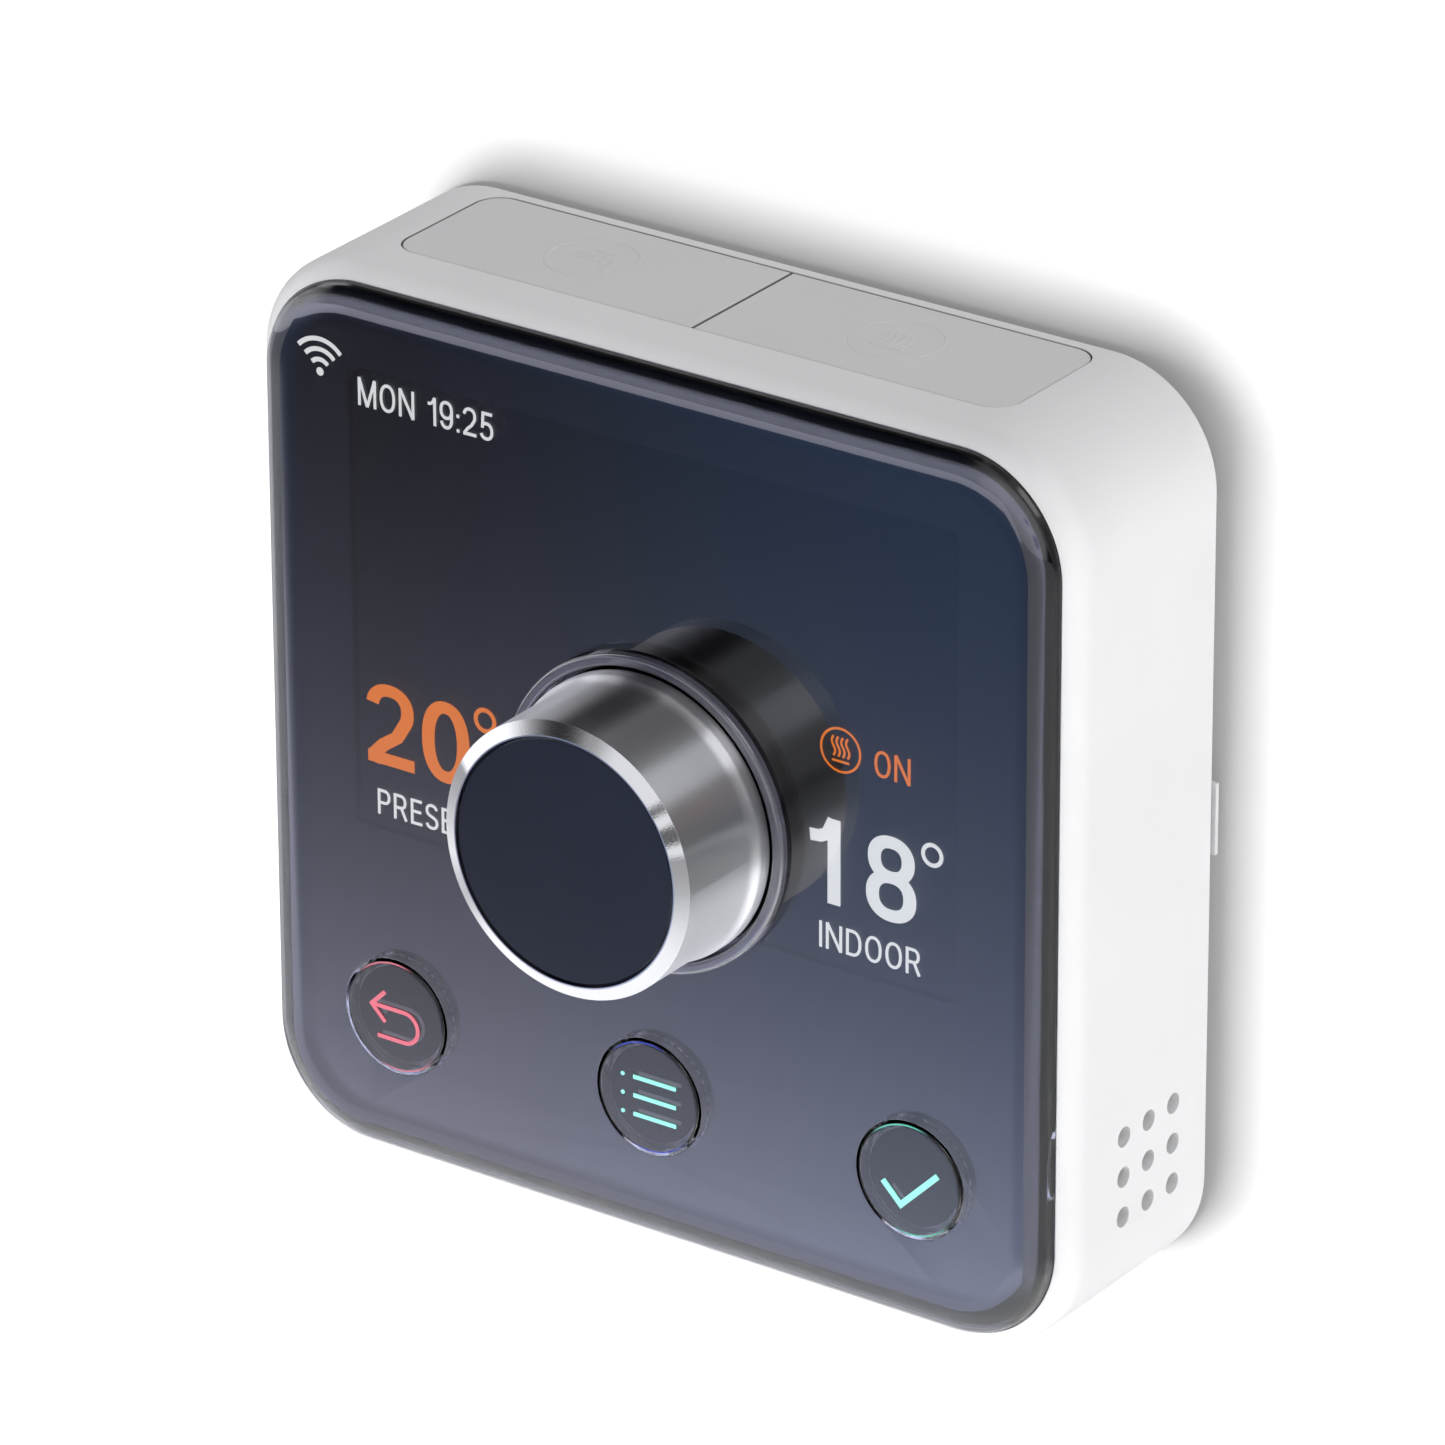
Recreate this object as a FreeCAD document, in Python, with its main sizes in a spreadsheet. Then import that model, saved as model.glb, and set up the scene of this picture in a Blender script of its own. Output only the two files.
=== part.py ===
"""Wall thermostat: a square unit that hangs on a wall plate, with a turning and pressing dial,
three buttons through its front lens and two buttons in its top wall.

The frame: the wall is the plane Y = 0, +X is to the right of a person in front of the unit and +Z
is up. The origin is the middle of the wall plate's back. Most sizes along the unit's depth are
distances from the wall, so a distance of 27.3 is the plane Y = -27.3.
"""
import FreeCAD, Part
import os
import re
import Sketcher

TINY = 0.01

SIZES = (
    # casing
    ("casing_half", 49.0, "half the width and the height"),
    ("casing_corner", 12.0, "corner radius seen from the front"),
    ("casing_edge", 3.2, "rounding between front and sides"),
    ("casing_back", 0.9, "rear edge, clear of the wall"),
    ("casing_front", 25.8, "front of the casing before the recess is cut"),
    ("wall", 2.0, "thickness of the side walls"),
    ("ledge_back", 23.3, "rear of the ledge under the lens"),
    ("ledge_front", 24.8, "front of the ledge"),
    ("ledge_half", 44.3, "half the opening inside the ledge"),
    ("ledge_corner", 8.5, "corner radius of that opening"),
    ("recess_half", 47.4, "half the recess that takes the lens"),
    ("recess_corner", 11.4, "corner radius of the recess"),
    ("corner_boss", 41.3, "screw boss from the middle, both ways"),
    ("corner_boss_radius", 4.2, "corner screw boss"),
    ("lug_across", 41.0, "circuit board screws from the middle"),
    ("lug_up", 20.0, "circuit board screws above and below the middle"),
    ("lug_inner", 39.5, "inner end of the lugs that hold the circuit board"),
    ("lug_half", 3.0, "half the height of a lug"),
    ("vent_radius", 1.1, "ventilation hole"),
    ("vent_pitch", 4.42, "ventilation holes, both ways"),
    ("vent_depth", 11.3, "middle of the ventilation holes from the wall"),
    ("vent_low", -30.9, "middle of the ventilation holes"),
    # screws
    ("screw_radius", 1.1, "thread of the casing and board screws"),
    ("screw_hole", 1.2, "hole that takes the thread"),
    ("head_radius", 2.1, "screw head"),
    ("head_high", 1.3, "height of a screw head"),
    ("small_screw", 0.85, "thread of the top board screws"),
    ("small_hole", 0.95, "hole that takes it"),
    ("small_head", 1.6, "head of the top board screws"),
    ("casing_screw", 9.5, "length of a casing screw under its head"),
    ("driver_slot", 0.5, "width and depth of the slot in a head"),
    # wall plate
    ("plate_half", 46.5, "half the width, and the upper edge"),
    ("plate_low", -42.0, "lower edge, which leaves room to lift the unit"),
    ("plate_corner", 9.5, "corner radius"),
    ("plate_front", 2.4, "thickness"),
    ("tab_half", 49.3, "ends of the side tabs"),
    ("tab_low", -1.8, "lower edge of the side tabs"),
    ("tab_high", 5.9, "upper edge of the side tabs"),
    ("tab_front", 0.5, "thickness of the side tabs"),
    ("fixing_half", 30.15, "wall screws from the middle"),
    ("fixing_radius", 2.1, "hole for a wall screw"),
    ("fixing_sink", 1.2, "countersink of that hole"),
    ("hook_across", 39.5, "hooks from the middle"),
    ("hook_half", 3.0, "half the width of a hook"),
    ("hook_upper", 18.0, "foot of the upper hooks"),
    ("hook_lower", -28.0, "foot of the lower hooks"),
    ("hook_stem", 3.0, "height of a hook's stem"),
    ("hook_tall", 7.0, "height of a hook with its lip"),
    ("hook_lip", 4.9, "rear of the lip"),
    ("hook_front", 6.0, "front of the lip"),
    ("hook_gap", 0.3, "room around a hook"),
    # rear cover
    ("cover_half", 46.7, "half the width and the height"),
    ("cover_corner", 9.7, "corner radius"),
    ("cover_back", 2.8, "rear face"),
    ("cover_front", 4.6, "front face"),
    ("lift", 4.6, "travel of the unit up and off the hooks"),
    ("cover_boss", 3.4, "boss round a cover screw"),
    ("cover_boss_front", 6.4, "front of that boss"),
    ("sink_radius", 2.4, "recess for a screw head"),
    ("sink_front", 4.8, "floor of that recess"),
    ("bay_half", 30.9, "half the inner width of the battery bay"),
    ("bay_high", 28.0, "half the inner height of the battery bay"),
    ("bay_wall", 1.2, "walls of the battery bay"),
    ("bay_floor", 18.3, "floor of the battery bay"),
    ("shelf_inner", 31.0, "inner side of the shelves under the top board"),
    ("shelf_outer", 35.0, "outer side of the shelves"),
    ("shelf_low", 37.0, "underside of the shelves"),
    # batteries
    ("cell_radius", 7.1, "size AA cell"),
    ("cell_long", 50.5, "cell with its nub"),
    ("nub_radius", 2.75, "nub of a cell"),
    ("nub_high", 1.0, "height of the nub"),
    ("cell_pitch", 15.2, "cells side by side"),
    ("cell_depth", 10.9, "axis of a cell"),
    ("contact_thick", 0.4, "sheet metal contact"),
    ("contact_half", 5.5, "half the width and the depth of a contact"),
    ("leaf_half", 3.0, "half the width of a leaf spring"),
    ("leaf_high", 4.69, "height of a leaf spring, which all but fills the gap at the cell's end"),
    ("leaf_foot", 0.6, "width of its foot"),
    ("leaf_thick", 0.5, "thickness at its ridge"),
    # circuit board and what stands on it
    ("board_back", 20.4, "rear face"),
    ("board_front", 22.0, "front face"),
    ("board_half", 43.0, "half the width"),
    ("board_high", 36.8, "half the height"),
    ("board_corner", 2.0, "corner radius"),
    ("chip_half", 5.0, "half the processor"),
    ("chip_across", -14.0, "middle of the processor"),
    ("chip_up", -21.0, "middle of the processor and the radio"),
    ("chip_front", 23.1, "front of the processor"),
    ("radio_across", 16.0, "middle of the radio module"),
    ("radio_half", 8.0, "half the width of the radio module"),
    ("radio_high", 5.5, "half the height of the radio module"),
    ("radio_front", 23.8, "front of the radio module"),
    ("lamp_up", 5.2, "lamp above the middle of its button"),
    ("lamp_half", 0.8, "half the width of a lamp"),
    ("lamp_front", 22.6, "front of a lamp"),
    # display
    ("panel_half", 37.6, "half the width of the glass"),
    ("panel_low", -12.0, "lower edge of the glass"),
    ("panel_high", 38.9, "upper edge of the glass"),
    ("panel_corner", 4.2, "corner radius of the glass"),
    ("panel_back", 23.6, "rear of the glass"),
    ("panel_front", 24.7, "front of the glass"),
    ("light_back", 22.2, "rear of the backlight"),
    ("light_front", 23.5, "front of the backlight"),
    ("light_low", -10.0, "lower edge of the backlight"),
    ("strip_half", 30.0, "half the width of the contact strip"),
    ("strip_low", -11.9, "lower edge of the contact strip"),
    ("strip_high", -10.3, "upper edge of the contact strip"),
    ("frame_gap", 0.1, "between the glass and its frame"),
    ("frame_wall", 0.9, "wall of the frame"),
    ("dial_hole", 9.2, "hole round the encoder"),
    ("window_left", -37.0, "clear window of the mask"),
    ("window_right", 36.0, "clear window of the mask"),
    ("window_low", -11.5, "clear window of the mask"),
    ("window_high", 38.6, "clear window of the mask"),
    ("window_corner", 0.8, "corner radius of that window"),
    # lens, mask and gasket
    ("seal_half", 46.4, "half the gasket and the mask"),
    ("seal_corner", 10.4, "their corner radius"),
    ("seal_inner", 44.6, "half the gasket's opening"),
    ("seal_inner_corner", 8.8, "its corner radius"),
    ("mask_back", 25.0, "rear of the mask"),
    ("lens_back", 25.2, "rear of the lens"),
    ("lens_front", 27.3, "front of the lens"),
    ("lens_half", 47.3, "half the width and the height"),
    ("lens_corner", 11.3, "corner radius"),
    ("lens_side", 25.5, "where the curved edge starts"),
    ("lens_fade", 3.9, "width of the curved edge"),
    ("lens_turn", 1.0, "radius at the outer end of the curved edge"),
    # dial
    ("encoder_half", 6.2, "half the encoder"),
    ("encoder_front", 25.0, "front of the encoder"),
    ("encoder_floor", 22.5, "floor of its well"),
    ("encoder_well", 3.8, "radius of its well"),
    ("plunger_radius", 3.5, "push piece of the encoder"),
    ("plunger_back", 23.3, "rear of that piece"),
    ("shaft_radius", 3.0, "shaft"),
    ("shaft_back", 24.2, "rear end of the shaft"),
    ("shaft_front", 38.5, "front end of the shaft"),
    ("shaft_flat", 2.4, "flat of the shaft from its axis"),
    ("shaft_flat_back", 31.5, "rear end of the flat, and of the hub"),
    ("bush_bore", 3.05, "bore that the shaft runs in"),
    ("bush_radius", 4.5, "threaded bush"),
    ("bush_front", 29.6, "front of the bush"),
    ("bush_hole", 4.6, "hole in the lens for the bush"),
    ("washer_radius", 7.5, "washer"),
    ("washer_front", 27.8, "front of the washer"),
    ("nut_corner", 6.35, "nut over its corners"),
    ("nut_front", 29.3, "front of the nut"),
    ("hub_radius", 12.55, "hub inside the knob"),
    ("hub_neck", 5.5, "neck of the hub"),
    ("hub_back", 36.9, "rear of the hub's disc"),
    ("knob_back", 28.0, "foot of the knob"),
    ("knob_radius", 14.7, "side of the knob"),
    ("knob_bore", 12.6, "inside of the knob"),
    ("foot_radius", 15.25, "flared foot of the knob"),
    ("foot_front", 29.5, "front of the flare's cylinder"),
    ("flare_front", 30.2, "where the flare meets the side"),
    ("flare_round", 1.4, "hollow of the flare"),
    ("foot_round", 0.5, "rounding of the foot"),
    ("bevel_back", 40.63, "rear of the polished chamfer"),
    ("bevel_radius", 13.3, "inner radius of the polished chamfer"),
    ("knob_front", 41.3, "front of the knob"),
    ("cap_radius", 13.15, "cap in the front of the knob"),
    ("cap_back", 39.9, "rear of the cap"),
    ("cap_front", 41.15, "front of the cap"),
    ("cap_bevel", 0.35, "chamfer of the cap"),
    ("collar_inner", 15.6, "collar round the knob, inside"),
    ("collar_outer", 16.9, "collar round the knob, outside"),
    ("collar_front", 28.3, "front of the collar"),
    ("collar_round", 0.4, "rounding of the collar"),
    # front buttons
    ("button_pitch", 31.5, "front buttons side by side"),
    ("button_up", -31.5, "height of the front buttons"),
    ("button_hole", 6.36, "hole in the lens for a button"),
    ("button_mask", 6.6, "hole in the mask for a button"),
    ("button_radius", 6.1, "clear cap"),
    ("button_front", 27.4, "front of the clear cap"),
    ("button_window", 25.8, "rear of its solid front"),
    ("button_bore", 5.4, "bore behind its front"),
    ("button_flange", 7.2, "flange behind the mask"),
    ("flange_back", 24.0, "rear of the flange"),
    ("flange_front", 24.7, "front of the flange"),
    ("button_round", 0.35, "rounding of the cap's rim"),
    ("insert_radius", 5.3, "dark insert behind the cap's front"),
    ("insert_back", 24.3, "rear of the insert"),
    ("insert_stem", 1.5, "stem of the insert"),
    ("picture_front", 27.5, "front of the raised picture"),
    ("picture_stroke", 0.45, "width of a line in a picture"),
    ("picture_skew", 0.16, "shift of a sloping line's corners, a quarter of its width times root two"),
    ("turn_radius", 1.7, "bend of the arrow's tail"),
    ("turn_across", 1.1, "middle of that bend"),
    ("turn_up", -0.9, "middle of that bend"),
    ("arrow_tip", -3.0, "tip of the arrow"),
    ("arrow_head", 1.7, "head of the arrow, both ways"),
    ("arrow_tail", -2.3, "end of the arrow's tail"),
    ("menu_left", -1.8, "left end of the menu bars"),
    ("menu_right", 3.4, "right end of the menu bars"),
    ("menu_dot", -3.1, "middle of the menu dots"),
    ("menu_up", -0.2, "middle row of the menu"),
    ("menu_step", 2.08, "rows of the menu"),
    ("tick_across", -0.95, "foot of the tick"),
    ("tick_low", -2.9, "foot of the tick"),
    ("tick_short", 2.15, "short stroke, both ways"),
    ("tick_long", 4.35, "long stroke, both ways"),
    ("tick_skew", 0.23, "shift of the tick's corners, from its width as above"),
    ("switch_half", 3.0, "half a push switch"),
    ("switch_front", 23.3, "front of a front switch"),
    ("switch_floor", 22.3, "floor of its well"),
    ("switch_well", 1.6, "radius of a switch's well"),
    ("pusher_radius", 1.4, "plunger of a switch"),
    ("pusher_back", 22.9, "rear of a front plunger"),
    ("pusher_front", 23.7, "front of a front plunger"),
    # top buttons
    ("top_half", 36.5, "outer ends of the top buttons"),
    ("top_seam", 0.15, "half the seam between them"),
    ("top_back", 2.2, "rear of the top buttons"),
    ("top_front", 19.3, "front of the top buttons"),
    ("top_gap", 0.15, "room round the top buttons"),
    ("top_corner", 2.85, "outer corners of the top buttons"),
    ("top_rim", 0.25, "rounding of their upper edge"),
    ("top_plate", 47.7, "underside of the buttons' plate"),
    ("top_flange", 46.7, "top of the flange below the casing wall"),
    ("top_low", 45.6, "lowest edge of the buttons"),
    ("skirt_outer", 34.8, "outer side of the buttons' skirt"),
    ("skirt_inner", 1.2, "inner side of the skirt"),
    ("skirt_back", 5.4, "rear of the skirt"),
    ("skirt_front", 18.6, "front of the skirt"),
    ("flange_grow", 2.6, "flange past the skirt"),
    ("skirt_wall", 1.3, "wall of the skirt"),
    ("top_switch", 18.2, "middle of a top button"),
    ("top_depth", 10.5, "middle of a top button from the wall"),
    ("top_stem", 1.8, "stem of a top button"),
    ("top_board_half", 36.0, "half the top board"),
    ("top_board_back", 6.0, "rear edge of the top board"),
    ("top_board_front", 15.0, "front edge of the top board"),
    ("top_board_low", 42.0, "underside of the top board"),
    ("top_board_high", 43.2, "upper side of the top board"),
    ("top_screw", 33.0, "screws of the top board from the middle"),
    ("top_screw_depth", 10.0, "those screws from the wall"),
    ("top_screw_low", 37.6, "their lower ends"),
    ("top_head_high", 1.1, "height of their heads"),
    ("top_switch_high", 44.8, "top of a top switch"),
    ("top_switch_floor", 43.6, "floor of its well"),
    ("top_pusher_low", 44.4, "lower end of its plunger"),
    # ribbons and sensor
    ("ribbon", 0.3, "thickness of a ribbon cable"),
    ("ribbon_half", 4.0, "half the width of the top ribbon"),
    ("ribbon_back", 8.0, "rear end of the top ribbon"),
    ("ribbon_low", 33.5, "lower end of the top ribbon"),
    ("sensor_left", 44.2, "inner side of the sensor board"),
    ("sensor_right", 45.2, "outer side of the sensor board"),
    ("sensor_front", 17.0, "front edge of the sensor board"),
    ("sensor_low", -36.9, "lower edge of the sensor board"),
    ("sensor_high", -25.0, "upper edge of the sensor board"),
    ("bead_radius", 0.9, "sensor bead"),
    ("bead_stand", 0.7, "middle of the bead from its board"),
    ("sensor_ribbon_low", -33.0, "lower edge of the sensor's ribbon"),
    ("sensor_ribbon_high", -29.0, "upper edge of the sensor's ribbon"),
    ("sensor_ribbon_back", 12.0, "rear end of the sensor's ribbon"),
    ("sensor_ribbon_end", 41.0, "end of that ribbon on the circuit board"),
)

doc = FreeCAD.newDocument("WallThermostat")
sheet = doc.addObject("Spreadsheet::Sheet", "Sizes")
sub_parts = []


def fill_sheet():
    for row, (alias, value, note) in enumerate(SIZES, 1):
        sheet.set("A%d" % row, alias)
        sheet.set("B%d" % row, str(value))
        sheet.set("C%d" % row, note)
        sheet.setAlias("B%d" % row, alias)
    doc.recompute()


# ---- formulas of sheet aliases ----------------------------------------------------------------

def size(formula):
    """The number that a formula of aliases stands for now."""
    return float(sheet.evalExpression(formula))


def bind(thing, field, formula):
    """Tie a property to a formula of aliases."""
    thing.setExpression(field, re.sub(r"\b([a-z]\w*)\b(?!\()", r"Sizes.\1", formula))


def minus(formula):
    return "-(%s)" % formula


def span(low, high):
    return "(%s) - (%s)" % (high, low)


def sided(sign, formula):
    """The formula itself on the right, and its mirror image on the left."""
    return formula if sign > 0 else minus(formula)


# ---- outlines that a sketch is made of --------------------------------------------------------

def fix(sketch, kind, geometry, corner, formula):
    """Hold one coordinate of a point by a dimension tied to the sheet."""
    number = sketch.addConstraint(Sketcher.Constraint(kind, -1, 1, geometry, corner, size(formula)))
    bind(sketch, "Constraints[%d]" % number, formula)


def fix_radius(sketch, geometry, formula):
    number = sketch.addConstraint(Sketcher.Constraint("Radius", geometry, size(formula)))
    bind(sketch, "Constraints[%d]" % number, formula)


def outline(*points):
    """A closed run of straight lines through (across, up) pairs of formulas."""
    def draw(sketch):
        first = sketch.GeometryCount
        spots = [FreeCAD.Vector(size(across), size(up), 0) for across, up in points]
        for here, there in zip(spots, spots[1:] + spots[:1]):
            sketch.addGeometry(Part.LineSegment(here, there), False)
        for step, (across, up) in enumerate(points):
            after = first + (step + 1) % len(points)
            sketch.addConstraint(Sketcher.Constraint("Coincident", first + step, 2, after, 1))
            fix(sketch, "DistanceX", first + step, 1, across)
            fix(sketch, "DistanceY", first + step, 1, up)
    return draw


def box(left, right, low, high):
    return outline((left, low), (right, low), (right, high), (left, high))


def disc(across, up, radius):
    def draw(sketch):
        centre = FreeCAD.Vector(size(across), size(up), 0)
        ring = sketch.addGeometry(Part.Circle(centre, FreeCAD.Vector(0, 0, 1), size(radius)), False)
        fix(sketch, "DistanceX", ring, 3, across)
        fix(sketch, "DistanceY", ring, 3, up)
        fix_radius(sketch, ring, radius)
    return draw


def rounded(left, right, low, high, radius):
    """A rectangle with four equal round corners."""
    def draw(sketch):
        x0, x1, y0, y1, r = (size(text) for text in (left, right, low, high, radius))
        first = sketch.GeometryCount
        sides = (((x0 + r, y0), (x1 - r, y0)), ((x1, y0 + r), (x1, y1 - r)),
                 ((x1 - r, y1), (x0 + r, y1)), ((x0, y1 - r), (x0, y0 + r)))
        for start, end in sides:
            line = Part.LineSegment(FreeCAD.Vector(*start, 0), FreeCAD.Vector(*end, 0))
            sketch.addGeometry(line, False)
        middles = ((x1 - r, y0 + r), (x1 - r, y1 - r), (x0 + r, y1 - r), (x0 + r, y0 + r))
        for quarter, middle in enumerate(middles):
            circle = Part.Circle(FreeCAD.Vector(*middle, 0), FreeCAD.Vector(0, 0, 1), r)
            turn = FreeCAD.Units.Quantity("%d deg" % (90 * (quarter - 1))).getValueAs("rad").Value
            quarter_turn = FreeCAD.Units.Quantity("90 deg").getValueAs("rad").Value
            sketch.addGeometry(Part.ArcOfCircle(circle, turn, turn + quarter_turn), False)
        for quarter in range(4):
            arc = first + 4 + quarter
            after = first + (quarter + 1) % 4
            sketch.addConstraint(Sketcher.Constraint("Tangent", first + quarter, 2, arc, 1))
            sketch.addConstraint(Sketcher.Constraint("Tangent", arc, 2, after, 1))
            direction = "Vertical" if quarter % 2 else "Horizontal"
            sketch.addConstraint(Sketcher.Constraint(direction, first + quarter))
            if quarter:
                sketch.addConstraint(Sketcher.Constraint("Equal", first + 4, arc))
        fix_radius(sketch, first + 4, radius)
        fix(sketch, "DistanceY", first, 1, low)
        fix(sketch, "DistanceX", first + 1, 1, right)
        fix(sketch, "DistanceY", first + 2, 1, high)
        fix(sketch, "DistanceX", first + 3, 1, left)
    return draw


def square(half, radius):
    return rounded(minus(half), half, minus(half), half, radius)


# ---- features ---------------------------------------------------------------------------------

def new_body(label, across="0", up="0"):
    body = doc.addObject("PartDesign::Body", label)
    body.Label = label
    bind(body, "Placement.Base.x", across)
    bind(body, "Placement.Base.z", up)
    return body


def sketch_on(body, plane, start, shapes):
    """A sketch parallel to one of the body's own planes, moved along that plane's normal."""
    sketch = body.newObject("Sketcher::SketchObject", "Sketch")
    datum = [item for item in body.Origin.OriginFeatures if item.Role == plane][0]
    sketch.AttachmentSupport = (datum, [""])
    sketch.MapMode = "FlatFace"
    bind(sketch, "AttachmentOffset.Base.z", start)
    for shape in shapes:
        shape(sketch)
    return sketch


def pad(body, start, end, *shapes, plane="XZ_Plane"):
    """Material from start to end; on XZ_Plane both are distances from the wall."""
    profile = sketch_on(body, plane, start, shapes)
    feature = body.newObject("PartDesign::Pad", "Pad")
    feature.Profile = profile
    bind(feature, "Length", span(start, end))


def cut(body, start, end, *shapes, plane="XZ_Plane"):
    """A pocket from start to end, measured as for a pad."""
    profile = sketch_on(body, plane, start, shapes)
    feature = body.newObject("PartDesign::Pocket", "Pocket")
    feature.Profile = profile
    feature.Reversed = True
    bind(feature, "Length", span(start, end))


def turn(body, shape, plane="XY_Plane"):
    """Material turned about the sketch's upright axis."""
    profile = sketch_on(body, plane, "0", [shape])
    feature = body.newObject("PartDesign::Revolution", "Revolution")
    feature.Profile = profile
    feature.ReferenceAxis = (profile, ["V_Axis"])
    feature.Angle = 360


def dress(body, kind, field, formula, wanted):
    """Round or bevel the edges of the body that a test picks out."""
    doc.recompute()
    base = body.Tip
    names = ["Edge%d" % number for number, edge in enumerate(base.Shape.Edges, 1) if wanted(edge)]
    feature = body.newObject(kind, kind.split("::")[1])
    feature.Base = (base, names)
    bind(feature, field, formula)


def round_edges(body, formula, wanted):
    dress(body, "PartDesign::Fillet", "Radius", formula, wanted)


def bevel_edges(body, formula, wanted):
    dress(body, "PartDesign::Chamfer", "Size", formula, wanted)


def ring_at(radius, depth):
    """Picks the full circle of that radius at that distance from the wall."""
    def wanted(edge):
        limits = edge.BoundBox
        flat = abs(limits.YMin + size(depth)) < TINY and abs(limits.YMax + size(depth)) < TINY
        return flat and abs(limits.XMax - size(radius)) < TINY
    return wanted


def flat_at(depth):
    """Picks every edge that lies at that distance from the wall."""
    def wanted(edge):
        limits = edge.BoundBox
        return abs(limits.YMin + size(depth)) < TINY and abs(limits.YMax + size(depth)) < TINY
    return wanted


def upright_at(across, depth):
    """Picks the upright edge at that place, seen from above."""
    def wanted(edge):
        limits = edge.BoundBox
        narrow = limits.XLength < TINY and limits.YLength < TINY
        there = abs(limits.XMin - size(across)) < TINY and abs(limits.YMin + size(depth)) < TINY
        return narrow and there
    return wanted


def level_at(height):
    """Picks every edge that lies level at that height."""
    def wanted(edge):
        return abs(edge.BoundBox.ZMin - size(height)) < TINY and edge.BoundBox.ZLength < TINY
    return wanted


# ---- primitives -------------------------------------------------------------------------------

def block(label, left, right, start, end, low, high):
    """A plain block; start and end are distances from the wall."""
    solid = doc.addObject("Part::Box", label)
    solid.Label = label
    bind(solid, "Length", span(left, right))
    bind(solid, "Width", span(start, end))
    bind(solid, "Height", span(low, high))
    bind(solid, "Placement.Base.x", left)
    bind(solid, "Placement.Base.y", minus(end))
    bind(solid, "Placement.Base.z", low)
    return solid


def rod(label, across, up, radius, start, end):
    """A round bar that points away from the wall."""
    solid = doc.addObject("Part::Cylinder", label)
    solid.Label = label
    solid.Placement.Rotation = FreeCAD.Rotation(FreeCAD.Vector(1, 0, 0), 90)
    bind(solid, "Radius", radius)
    bind(solid, "Height", span(start, end))
    bind(solid, "Placement.Base.x", across)
    bind(solid, "Placement.Base.y", minus(start))
    bind(solid, "Placement.Base.z", up)
    return solid


def pole(label, across, depth, radius, low, high):
    """A round bar that stands upright."""
    solid = doc.addObject("Part::Cylinder", label)
    solid.Label = label
    bind(solid, "Radius", radius)
    bind(solid, "Height", span(low, high))
    bind(solid, "Placement.Base.x", across)
    bind(solid, "Placement.Base.y", minus(depth))
    bind(solid, "Placement.Base.z", low)
    return solid


def fused(label, *members):
    union = doc.addObject("Part::MultiFuse", label)
    union.Label = label
    union.Shapes = list(members)
    return union


def less(label, base, tool):
    rest = doc.addObject("Part::Cut", label)
    rest.Label = label
    rest.Base = base
    rest.Tool = tool
    return rest


def group(label, members):
    """Separate solids of one kind that share a node."""
    gathered = doc.addObject("Part::Compound", label)
    gathered.Label = label
    gathered.Links = list(members)
    return gathered


# ---- wall plate -------------------------------------------------------------------------------

def hook_places():
    for sign in (-1, 1):
        for foot in ("hook_upper", "hook_lower"):
            middle = sided(sign, "hook_across")
            yield middle, foot


def make_wall_plate():
    body = new_body("wall_plate")
    pad(body, "0", "plate_front",
        rounded("-plate_half", "plate_half", "plate_low", "plate_half", "plate_corner"))
    pad(body, "0", "tab_front", box("-tab_half", "tab_half", "tab_low", "tab_high"))
    stems = []
    lips = []
    windows = []
    for middle, foot in hook_places():
        left = middle + " - hook_half"
        right = middle + " + hook_half"
        stems.append(box(left, right, foot, foot + " + hook_stem"))
        lips.append(box(left, right, foot, foot + " + hook_tall"))
        windows.append(box(left + " - hook_gap", right + " + hook_gap",
                           foot + " + hook_stem + hook_gap", foot + " + hook_tall + hook_gap"))
    pad(body, "plate_front", "hook_front", *stems)
    pad(body, "hook_lip", "hook_front", *lips)
    cut(body, "0", "plate_front", *windows)
    fixings = [("fixing_half", "0"), ("-fixing_half", "0"), ("0", "fixing_half"), ("0", "-fixing_half")]
    cut(body, "0", "plate_front", *[disc(across, up, "fixing_radius") for across, up in fixings])

    def rim_of_a_fixing(edge):
        round_rim = edge.Closed and abs(edge.BoundBox.XLength - 2 * size("fixing_radius")) < TINY
        return round_rim and flat_at("plate_front")(edge)
    bevel_edges(body, "fixing_sink", rim_of_a_fixing)
    return [body]


# ---- casing and rear cover --------------------------------------------------------------------

def four(across, up):
    for side in (-1, 1):
        for level in (-1, 1):
            yield sided(side, across), sided(level, up)


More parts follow.
